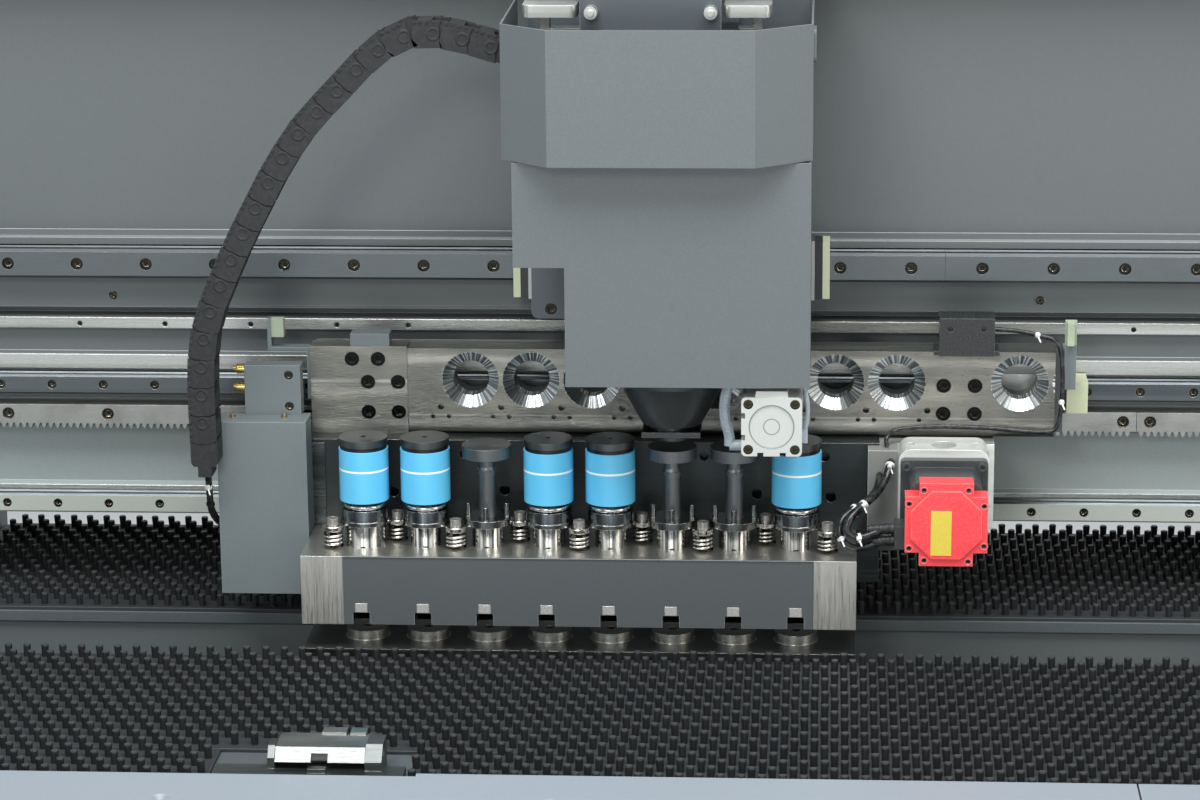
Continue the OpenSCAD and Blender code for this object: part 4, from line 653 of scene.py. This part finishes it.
# Motor end cap: die-cast aluminium under a thick gloss red enamel, held by eight small socket screws
# in round bosses. Its rating field is a plain yellow foil.
MOTOR_X, MOTOR_Z = 0.3965, 0.995
CAP_FACE_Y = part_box("motor_end_cap")[0].y
EAR_DEPTH = 0.003
CAP_SCREWS_MM = [(-24.5, 38.5), (23.5, 38.5), (-40.3, 23), (40.5, 21), (40.8, -24), (24, -41.5),
                 (-23.5, -40.5), (-40, -27)]
BOSS = [(0.0046, -0.0004), (0.0046, 0.0), (0.0042, 0.0006), (0.0031, 0.0006), (0.0029, 0.0),
        (0.0029, -0.0004)]
SOCKET_HEAD = [(0.0, 0.0022), (0.0013, 0.0022), (0.0013, 0.0002), (0.0024, 0.0), (0.0027, 0.0004),
               (0.0027, 0.004)]
FOIL_X, FOIL_Z, FOIL_T, FOIL_BEVEL = (0.3797, 0.402), (0.9612, 1.0117), 0.0004, 0.00015
CORNER_ANGLE = math.radians(35)


def circle(sides):
    return [(math.cos(2 * math.pi * i / sides), math.sin(2 * math.pi * i / sides)) for i in range(sides)]


def prism(bm, front, back):
    """A solid between two outlines that have the same number of corners."""
    near, far = [bm.verts.new(p) for p in front], [bm.verts.new(p) for p in back]
    bm.faces.new(near)
    bm.faces.new(list(reversed(far)))
    for i in range(len(near)):
        j = (i + 1) % len(near)
        bm.faces.new((near[j], near[i], far[i], far[j]))


def block(u0, u1, w0, w1):
    """The four corners of a rectangle."""
    return [(u0, w0), (u1, w0), (u1, w1), (u0, w1)]


def lathe(bm, centre, axis, outline, sides=32):
    """A turned body: outline is a list of (radius, distance along the axis)."""
    axis = Vector(axis).normalized()
    across = axis.orthogonal().normalized()
    other = axis.cross(across)
    rings = []
    for radius, along in outline:
        middle = Vector(centre) + axis * along
        if radius < 1e-6:
            rings.append([bm.verts.new(middle)])
            continue
        rings.append([bm.verts.new(middle + radius * (across * c + other * s)) for c, s in circle(sides)])
    for near, far in zip(rings, rings[1:]):
        for i in range(sides):
            j = (i + 1) % sides
            face = [near[i % len(near)], near[j % len(near)], far[j % len(far)], far[i % len(far)]]
            bm.faces.new(list(dict.fromkeys(face)))
    for ring in (rings[0], rings[-1]):
        if len(ring) > 2:
            bm.faces.new(ring)


def from_bmesh(name, bm, bevel=0.0):
    if bevel:
        bmesh.ops.bevel(bm, geom=list(bm.edges), offset=bevel, segments=1, affect="EDGES", profile=0.7,
                        clamp_overlap=True)
    bmesh.ops.recalc_face_normals(bm, faces=bm.faces)
    mesh = bpy.data.meshes.new(name)
    bm.to_mesh(mesh)
    bm.free()
    return placed(name, mesh)


def round_off(piece):
    """Smooth shading across the facets of a turned piece, and sharp at its corners."""
    for polygon in piece.data.polygons:
        polygon.use_smooth = True
    piece.data.set_sharp_from_angle(angle=CORNER_ANGLE)


def settle(piece, body, material):
    piece.data.materials.append(material)
    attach(piece, body)


cap_red = enamel("gloss_red_enamel", "#ec3c44", worn="#fbb0ae", peel_mm=2.0, rough=0.3, edge_mm=0.9,
                 cloud=0.04)
dress(cap_red, "motor_end_cap")
bosses, heads, foil = bmesh.new(), bmesh.new(), bmesh.new()
for x_mm, z_mm in CAP_SCREWS_MM:
    spot = (MOTOR_X + x_mm / 1000, CAP_FACE_Y + EAR_DEPTH, MOTOR_Z + z_mm / 1000)
    lathe(bosses, spot, (0, -1, 0), BOSS, 28)
    lathe(heads, spot, (0, 1, 0), SOCKET_HEAD, 24)
prism(foil, *([(x, y, z) for x, z in block(*FOIL_X, *FOIL_Z)] for y in (CAP_FACE_Y - FOIL_T, CAP_FACE_Y)))
cap_bosses, cap_screws = from_bmesh("cap_bosses", bosses), from_bmesh("cap_screws", heads)
cap_label = from_bmesh("cap_label", foil, bevel=FOIL_BEVEL)
yellow_foil = enamel("yellow_polyester_foil", "#d2bd42", worn="#eadf90", peel_mm=3.0, rough=0.32, edge_mm=0.4)
for piece, skin in ((cap_bosses, cap_red), (cap_screws, black_steel), (cap_label, yellow_foil)):
    round_off(piece)
    settle(piece, "carriage", skin)


# Leads, hose and wire: PVC jackets over stranded copper, black and satin, with scuffs. The hose is a
# clear polyurethane one. Each is held at both ends on one body, and tied with white nylon ties.
def spline_through(points, steps=8):
    """Points of a smooth curve through the given ones."""
    out = []
    for i in range(len(points) - 1):
        a, b, c, d = (Vector(points[min(max(j, 0), len(points) - 1)]) for j in (i - 1, i, i + 1, i + 2))
        for s in range(steps):
            t = s / steps
            out.append(0.5 * (2 * b + (c - a) * t + (2 * a - 5 * b + 4 * c - d) * t * t
                              + (3 * b - a - 3 * c + d) * t * t * t))
    out.append(Vector(points[-1]))
    return out


def jacket(name, shade, rough, clear=0.0):
    """Extruded jacket: one colour with dusty scuffs that follow no direction."""
    material, tree, place = fresh(name)
    scuffs = noise(tree, place, 9, 5.0)
    colour = mix(tree, remap(tree, scuffs, (0.45, 0.8), (0.0, 0.2)), shade, "#8d9091")
    show(tree, add(tree, "BsdfPrincipled", {
        "Base Color": colour, "Roughness": remap(tree, scuffs, to=(rough - 0.08, rough + 0.1)),
        "Transmission Weight": clear}))
    return material


def swept(name, route_mm, width_mm, shift_mm=(0, 0, 0)):
    """A round lead along given points, in millimetres."""
    line = spline_through([(Vector(p) + Vector(shift_mm)) / 1000 for p in route_mm])
    data = bpy.data.curves.new(name, "CURVE")
    data.dimensions, data.bevel_depth, data.bevel_resolution = "3D", width_mm / 2000, 5
    data.use_fill_caps = True
    run = data.splines.new("POLY")
    run.points.add(len(line) - 1)
    for point, place in zip(run.points, line):
        point.co = (*place, 1)
    run.use_smooth = True
    return placed(name, data)


# Each lead's width, the points where it is tied, and its route, all in millimetres
LEADS = {
    "motor_lead": (9, (2, 5, 8), [
        (340.7, 44, 976.5), (331, 44, 975.5), (303, 36, 968), (290, 34, 976), (294, 40, 990), (308, 56, 1000),
        (322, 76, 1007), (332, 94, 1018), (337, 108, 1030), (338, 118.8, 1031)]),
    "brake_lead": (8, (3, 5), [
        (340.7, 44, 963), (331, 44, 962), (300, 42, 955), (284, 40, 966), (284, 48, 984), (298, 62, 994),
        (312, 78, 998), (322, 94, 1006), (326, 108, 1015), (326, 118.8, 1016)]),
    "sensor_lead": (5, (7, 10), [
        (334, 134, 1044.9), (334, 138, 1054), (345, 150, 1060), (390, 158, 1062), (450, 160, 1060),
        (505, 160, 1056), (523, 161, 1062), (528, 162, 1090), (528, 162, 1130), (522, 163, 1158),
        (500, 166, 1166), (478, 168, 1170), (453.5, 168, 1172)]),
    "box_lead_near": (6, (1,), [
        (-421, 76, 1022), (-421, 80, 1006), (-422, 88, 990), (-423, 99, 975), (-422, 110, 964),
        (-420, 117, 957), (-418, 119, 954), (-413.7, 119, 954)])}
BOX_LEADS_APART_MM = (0, 8, 0)
lead_pieces = [swept(name, route, width_mm) for name, (width_mm, _, route) in LEADS.items()]
width_mm, _, route = LEADS["box_lead_near"]
lead_pieces.append(swept("box_lead_far", route, width_mm, BOX_LEADS_APART_MM))
black_pvc = jacket("pvc_cable_jacket", "#141516", 0.26)

# Glands and ties: ribbed nitrile boots where two leads leave their connectors, narrower at each rib, and
# white nylon ties with a small head and a cut tail.
GLANDS = (((0.3415, 0.044, 0.9766), 0.0068, 0.030), ((0.3415, 0.044, 0.9632), 0.0062, 0.024))
GLAND_RIBS, RIB_SHARE, RIB_TAPER, GROOVE_SHARE = 5, 0.62, 0.05, 0.88
TIE_BAND, TIE_THICK, TIE_BITE, TIE_EDGE = 0.0034, 0.0011, 0.0002, 0.0002
TIE_HEAD, TIE_HEAD_BACK = [(0.0021, 0.0), (0.0027, 0.0006), (0.0027, 0.005), (0.0021, 0.0056)], 0.0028
TIE_TAIL, TAIL_WAY = [(0.0011, 0.0), (0.0009, 0.009)], Vector((0.35, -0.6, -0.7)).normalized()

glands = bmesh.new()
for start, radius, length in GLANDS:
    outline = [(radius * 0.85, 0.0)]
    for rib in range(GLAND_RIBS):
        crest = radius * (1 - RIB_TAPER * rib)
        rib_end = length * (rib + RIB_SHARE) / GLAND_RIBS
        outline += [(crest, length * rib / GLAND_RIBS + 0.0004), (crest, rib_end),
                    (crest * GROOVE_SHARE, rib_end + 0.0005),
                    (crest * GROOVE_SHARE, length * (rib + 1) / GLAND_RIBS - 0.0003)]
    lathe(glands, start, (-1, 0, -0.05), outline)
lead_glands = from_bmesh("lead_glands", glands)

ties = bmesh.new()
for width_mm, tied, route in LEADS.values():
    for spot in tied:
        here = Vector(route[spot]) / 1000
        heading = (Vector(route[spot + 1]) - Vector(route[spot - 1])).normalized()
        inner = width_mm / 2000 - TIE_BITE
        outer = inner + TIE_THICK
        band = [(inner, 0.0), (outer, TIE_EDGE), (outer, TIE_BAND - TIE_EDGE), (inner, TIE_BAND)]
        lathe(ties, here - heading * TIE_BAND / 2, heading, band, 24)
        lathe(ties, here + Vector((0, -outer, 0.001)) - heading * TIE_HEAD_BACK, heading, TIE_HEAD, 6)
        lathe(ties, here + Vector((0, -outer, 0)), TAIL_WAY, TIE_TAIL, 6)
cable_ties = from_bmesh("cable_ties", ties)
nitrile = jacket("moulded_nitrile_boot", "#202223", 0.5)
white_nylon = enamel("white_nylon_tie", "#dcdedb", worn="#f4f5f3", rough=0.4)
for turned in (lead_glands, cable_ties):
    round_off(turned)
skins = [(lead, black_pvc) for lead in lead_pieces] + [(lead_glands, nitrile), (cable_ties, white_nylon)]
for piece, skin in skins:
    settle(piece, "carriage", skin)
    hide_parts("leads")
dress(jacket("clear_polyurethane_hose", "#b6c4cd", 0.25, clear=0.35), "cylinder_hose")

# Guide blocks: ground steel bodies with a black nitrile lip and a pale moulded cover plate screwed to
# each end, cut out to the rail's profile.
HEAD_BLOCKS_X = (-0.0195, 0.1995)
HEAD_BLOCK_HALF, LIP_END = 0.0525, 0.0615
PLATE_FROM_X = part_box("carriage_guide_blocks")[1].x - 0.0245
LIP_T = 0.004


def wipered(name, reach, lip_from, plate_from):
    """Steel, black lip and pale plate on one block, told apart by how far along X they lie."""
    material, tree, place = fresh(name)
    far = reach(tree, parts(tree, place)["X"])
    lip, plate = between(tree, far, lip_from, plate_from), past(tree, far, plate_from)
    speck = noise(tree, place, 1.2, 4.0, 0.75)
    steel, rubber = mix(tree, speck, "#8f9290", "#b4b6b3"), mix(tree, speck, "#141516", "#2c2e2f")
    colour = mix(tree, plate, mix(tree, lip, steel, rubber), mix(tree, speck, "#b3bb98", "#c9cfb0"))
    metal = calc(tree, "SUBTRACT", 1.0, either(tree, lip, plate))
    bump = relief(tree, speck, rounded(tree, 0.5), 0.15, 0.3)
    return surface(material, colour, remap(tree, speck, to=(0.26, 0.44)), bump, metal)


def from_block_middle(tree, x):
    away = [calc(tree, "ABSOLUTE", calc(tree, "SUBTRACT", x, middle)) for middle in HEAD_BLOCKS_X]
    return calc(tree, "MINIMUM", *away)


def along_carriage(tree, x):
    return x


dress(wipered("wipered_head_block", from_block_middle, HEAD_BLOCK_HALF, LIP_END), "head_guide_blocks")
dress(wipered("wipered_carriage_block", along_carriage, PLATE_FROM_X - LIP_T, PLATE_FROM_X),
      "carriage_guide_blocks")

# Brush fields: black nylon bristles set as round bundles in a black board, in staggered rows. The
# bundles are cut off flat, and their ends look pale grey.
BUNDLE_R, BUNDLE_SIDES, END_SHARE = 0.00425, 10, 0.86
BUNDLE_PITCH, ROW_PITCH = 0.0205, 0.0208
LEAN, RAGGED, DOME_H = 0.0007, 0.0006, 0.0012
brush_low, brush_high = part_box("brush_fields")
TABLE_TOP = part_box("table_plates")[1].z
BOARD_TOP = TABLE_TOP + 0.004
(pocket_x0, pocket_x1), (pocket_y0, pocket_y1) = (-0.350, -0.148), (-0.400, -0.294)
FRONT_FIELD_Y, FRONT_ROWS = brush_low.y, 19
REAR_FIELD_Y, REAR_ROWS = 0.166, 16


def in_clamp_pocket(x, y):
    return pocket_x0 - BUNDLE_R < x < pocket_x1 + BUNDLE_R and pocket_y0 < y < pocket_y1 + BUNDLE_R


def bundles(name, first_row_y, rows):
    """All bundles of one field in one mesh: a slightly flared shaft and a domed, ragged end."""
    points, faces = [], []
    columns = int((brush_high.x - brush_low.x) / BUNDLE_PITCH)
    for row in range(rows):
        y = first_row_y + (row + 0.5) * ROW_PITCH
        for column in range(columns):
            x = brush_low.x + (column + 0.5 + 0.5 * (row % 2)) * BUNDLE_PITCH
            if in_clamp_pocket(x, y) or x > brush_high.x - BUNDLE_R:
                continue
            lean_x, lean_y = random.uniform(-LEAN, LEAN), random.uniform(-LEAN, LEAN)
            top = brush_high.z - random.uniform(0, RAGGED)
            start = len(points)
            levels = ((x, y, BOARD_TOP, END_SHARE), (x + lean_x, y + lean_y, top - DOME_H, 1.0),
                      (x + lean_x, y + lean_y, top, END_SHARE))
            for middle_x, middle_y, height, width in levels:
                points += [(middle_x + c * BUNDLE_R * width, middle_y + s * BUNDLE_R * width, height)
                           for c, s in circle(BUNDLE_SIDES)]
            for low in (start, start + BUNDLE_SIDES):
                high = low + BUNDLE_SIDES
                for i in range(BUNDLE_SIDES):
                    j = (i + 1) % BUNDLE_SIDES
                    faces.append((low + i, low + j, high + j, high + i))
            faces.append(tuple(start + 2 * BUNDLE_SIDES + i for i in range(BUNDLE_SIDES)))
    mesh = bpy.data.meshes.new(name)
    mesh.from_pydata(points, [], faces)
    return placed(name, mesh)


def bristle_nylon():
    """Black bristles seen end on: pale specks on top of each bundle, dark sides."""
    material, tree, place = fresh("bristle_nylon")
    ends = add(tree, "TexVoronoi", {"Vector": place, "Scale": 1000 / 0.9}).outputs["Distance"]
    top_only = remap(tree, looking_up(tree), (0.8, 0.98))
    amount = both(tree, remap(tree, ends, (0.1, 0.6), (1.0, 0.25)), top_only)
    bump = add(tree, "Bump", {"Height": ends, "Strength": 0.5, "Distance": 0.0006}).outputs[0]
    return surface(material, mix(tree, amount, "#17191a", "#4b5052"), 0.55, bump)


front_bundles = bundles("front_bristles", FRONT_FIELD_Y, FRONT_ROWS)
rear_bundles = bundles("rear_bristles", REAR_FIELD_Y, REAR_ROWS)
boards = bmesh.new()
for board in (block(brush_low.x, pocket_x0, FRONT_FIELD_Y, pocket_y1),
              block(pocket_x1, brush_high.x, FRONT_FIELD_Y, pocket_y1),
              block(brush_low.x, brush_high.x, pocket_y1, FRONT_FIELD_Y + FRONT_ROWS * ROW_PITCH),
              block(brush_low.x, brush_high.x, REAR_FIELD_Y, REAR_FIELD_Y + REAR_ROWS * ROW_PITCH)):
    prism(boards, *([(x, y, z) for x, y in board] for z in (TABLE_TOP, BOARD_TOP)))
brush_boards = from_bmesh("brush_boards", boards, bevel=0.0005)
bristle = bristle_nylon()
board_plastic = enamel("moulded_polypropylene_board", "#2b2e30", worn="#4a4f51", peel_mm=0.8, rough=0.55)
for piece, skin in ((front_bundles, bristle), (rear_bundles, bristle), (brush_boards, board_plastic)):
    settle(piece, "machine_frame", skin)
    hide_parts("brush_fields")

# Springs: wound spring steel, bright and oily. A lifter spring stands on the tool bar on each side of a
# guide, with a thick washer that the guide's flange presses, so the washer rides that guide. The
# stripping springs sit between each guide and its sleeved punch.
PRESSED_BY = (1, 2, 3, 4, 5, 6, 6, 7, 8)
SPRING_KEEPS, LIFTER_OFFSET = 0.055, 0.015
BAR_TOP, FLANGE_Z = bar_high.z, 0.97
LIFTER_R, LIFTER_WIRE, LIFTER_TURNS = 0.0100, 0.0031, 3.6
WASHER_R, WASHER_H, WASHER_BORE, WASHER_CHAMFER, WASHER_GAP = 0.0118, 0.0058, 0.0043, 0.0008, 0.00005
WASHER_SIDES, COIL_STEPS = 40, 28
STRIPPER_Z, STRIPPER_R, STRIPPER_WIRE = (0.9876, 1.0535), 0.0212, 0.0066
STRIPPER_TURNS, STRIPPER_CLOSED = 5.6, 0.9


def coil(name, x, y, z0, z1, radius, wire, turns, closed=0.0):
    """A wound spring as a mesh; closed is the number of flat turns at each end."""
    curve = bpy.data.curves.new(name, "CURVE")
    curve.dimensions, curve.bevel_depth, curve.bevel_resolution, curve.resolution_u = "3D", wire / 2, 3, 1
    spline = curve.splines.new("POLY")
    steps = int(turns * COIL_STEPS)
    spline.points.add(steps)
    for i in range(steps + 1):
        angle = 2 * math.pi * turns * i / steps
        rise = min(1.0, max(0.0, (turns * i / steps - closed) / (turns - 2 * closed)))
        spline.points[i].co = (x + radius * math.cos(angle), y + radius * math.sin(angle),
                               z0 + wire / 2 + (z1 - z0 - wire) * rise, 1)
    spline.use_smooth = True
    wound = bpy.data.objects.new(name + "_path", curve)
    mesh = bpy.data.meshes.new_from_object(wound)
    mesh.name = name
    bpy.data.objects.remove(wound)
    mesh.materials.clear()
    return placed(name, mesh)


def washer_at(name, x, y, bottom):
    flat_r = WASHER_R - WASHER_CHAMFER
    outline = [(WASHER_BORE, 0.0), (flat_r, 0.0), (WASHER_R, WASHER_CHAMFER),
               (WASHER_R, WASHER_H - WASHER_CHAMFER), (flat_r, WASHER_H), (WASHER_BORE, WASHER_H)]
    ring = bmesh.new()
    rims = [[ring.verts.new((x + r * c, y + r * s, bottom + h)) for r, h in outline]
            for c, s in circle(WASHER_SIDES)]
    for t in range(WASHER_SIDES):
        rim, following = rims[t], rims[(t + 1) % WASHER_SIDES]
        for i in range(len(outline)):
            j = (i + 1) % len(outline)
            ring.faces.new((rim[i], rim[j], following[j], following[i]))
    return from_bmesh(name, ring)


spring_steel = ground_steel("bright_spring_steel", "#cfccc6", along=(0, 0, 0), line_mm=3.0, rough=0.2,
                            stain=0.2)
for i, guide in enumerate(PRESSED_BY):
    x = ROW_X + (i - 4) * TOOL_PITCH
    y = TOOL_Y + (LIFTER_OFFSET if i % 2 else -LIFTER_OFFSET)
    spring = coil(f"lifter_spring_{i + 1}", x, y, BAR_TOP, FLANGE_Z - WASHER_H, LIFTER_R, LIFTER_WIRE,
                  LIFTER_TURNS)
    washer = washer_at(f"lifter_washer_{i + 1}", x, y, FLANGE_Z - WASHER_H - WASHER_GAP)
    for piece, body in ((spring, "carriage"), (washer, f"guide_{guide}")):
        settle(piece, body, spring_steel)
        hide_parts("tool_springs")
    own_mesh(spring)
for k in SLEEVED:
    x = ROW_X + (k - 4.5) * TOOL_PITCH
    spring = coil(f"stripping_spring_{k}", x, TOOL_Y, *STRIPPER_Z, STRIPPER_R, STRIPPER_WIRE, STRIPPER_TURNS,
                  closed=STRIPPER_CLOSED)
    spring.data.materials.append(spring_steel)
    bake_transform(spring)
    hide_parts("tool_springs")

# Cable carrier: moulded nylon links on round pivots, dusty from grinding. Each link has two side
# plates, each a skin over a tongue, two crossbars and four ribs, and the chain bends between the head
# and the carriage. Its last link ends in a foot that stands on the cover box's lug.
CARRIER_ROUTE = [(-90, 1502), (-128, 1513), (-176, 1519), (-219, 1499), (-266, 1452), (-300, 1416),
                 (-330, 1372), (-352, 1332), (-375, 1288), (-395, 1244), (-410, 1208), (-419, 1172),
                 (-422, 1130), (-422, 1096), (-421, 1040)]
FRONT_Y, BACK_Y = 0.062, 0.096
LINK_PITCH, LINK_H = 0.032, 0.030
PLATE_T, SKIN_T, OVERLAP = 0.0045, 0.002, 0.0002
CROSSBAR_U, CROSSBAR_T, CROSSBAR_INSET = (0.006, 0.022), 0.004, 0.001
RIBS_U, RIB_W, RIB_H, RIB_PROUD, RIB_ROOT = (0.002, 0.0085, 0.0165, 0.023), 0.0036, 0.0032, 0.0007, 0.0006
PIVOT_U, PIVOT_SIDES = 0.005, 24
PIVOT_RINGS = ((0.0076, 0.0002), (0.0071, -0.0005), (0.0052, -0.0005), (0.0047, 0.0001))
FOOT_Z, LUG_Z, FOOT_CHAMFER, FOOT_INSET, FOOT_RISE = 1.0345, 1.0225, 0.004, 0.0006, 0.005


def hinges(route, pitch):
    """Places along the route, one link pitch apart."""
    found, travelled, target = [route[0]], 0.0, pitch
    for a, b in zip(route, route[1:]):
        span = (b - a).length
        while travelled + span >= target:
            found.append(a.lerp(b, (target - travelled) / span))
            target += pitch
        travelled += span
    return found


def link(bm, start, end):
    """One link from hinge to hinge: u runs along it, w across it and y through it."""
    along = (end - start).normalized()
    across, half, reach = Vector((-along.y, along.x)), LINK_H / 2, (end - start).length

    def at(u, w, y):
        p = start + along * u + across * w
        return (p.x, y, p.y)

    skin = [(-0.30 * half, -half), (-0.12 * half, -0.5 * half), (-0.12 * half, 0.5 * half),
            (-0.30 * half, half), (reach - 0.42 * half, half), (reach - 0.22 * half, 0.5 * half),
            (reach - 0.22 * half, -0.5 * half), (reach - 0.42 * half, -half)]
    tongue = [(-0.75 * half, 0.9 * half), (0.6 * reach, 0.96 * half), (0.6 * reach, -0.96 * half),
              (-0.75 * half, -0.9 * half)]
    inner = SKIN_T - OVERLAP
    pieces = [(skin, FRONT_Y, FRONT_Y + SKIN_T), (tongue, FRONT_Y + inner, FRONT_Y + PLATE_T),
              (skin, BACK_Y - SKIN_T, BACK_Y), (tongue, BACK_Y - PLATE_T, BACK_Y - inner)]
    for side in (-1, 1):
        bar = block(*CROSSBAR_U, side * half, side * (half - CROSSBAR_T))
        pieces.append((bar, FRONT_Y + CROSSBAR_INSET, BACK_Y - CROSSBAR_INSET))
    for u in RIBS_U:
        pieces.append((block(u, u + RIB_W, -half, RIB_H - half), FRONT_Y - RIB_PROUD, FRONT_Y + RIB_ROOT))
    for outline, y0, y1 in pieces:
        prism(bm, [at(u, w, y0) for u, w in outline], [at(u, w, y1) for u, w in outline])
    rings = [[bm.verts.new(at(r * c + PIVOT_U, r * s, FRONT_Y + dy)) for c, s in circle(PIVOT_SIDES)]
             for r, dy in PIVOT_RINGS]
    for ring, following in zip(rings, rings[1:]):
        for t in range(PIVOT_SIDES):
            u = (t + 1) % PIVOT_SIDES
            bm.faces.new((ring[t], ring[u], following[u], following[t]))
    bm.faces.new(rings[-1])
    bm.faces.new(list(reversed(rings[0])))


def foot(bm, hinge):
    half, top = LINK_H / 2, hinge.y + FOOT_RISE
    rightward = [(0.5 * half, LUG_Z), (0.5 * half, FOOT_Z), (0.8 * half, FOOT_Z),
                 (half, FOOT_Z + FOOT_CHAMFER), (half, top)]
    outline = [(-dx, z) for dx, z in reversed(rightward)] + rightward
    prism(bm, [(hinge.x + dx, FRONT_Y + FOOT_INSET, z) for dx, z in outline],
          [(hinge.x + dx, BACK_Y - FOOT_INSET, z) for dx, z in outline])


def dusty_nylon():
    """Moulded nylon, near black, with pale grinding dust that gathers in patches."""
    material, tree, place = fresh("moulded_nylon_carrier")
    patch = remap(tree, noise(tree, place, 5, 8.0, 0.75), (0.46, 0.7), (0.0, 0.6))
    bump = relief(tree, noise(tree, place, 1.6, 4.0), rounded(tree, 0.6), 0.35, 0.6)
    return surface(material, mix(tree, patch, "#1c1e1f", "#35383a"), 0.68, bump)


joints = hinges([Vector((p.x / 1000, p.y / 1000)) for p in spline_through(CARRIER_ROUTE)], LINK_PITCH)
chain = bmesh.new()
for start, end in zip(joints, joints[1:]):
    link(chain, start, end)
foot(chain, joints[-1])
carrier = from_bmesh("cable_carrier_links", chain)
carrier.data.materials.append(dusty_nylon())
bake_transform(carrier)
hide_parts("cable_carrier")
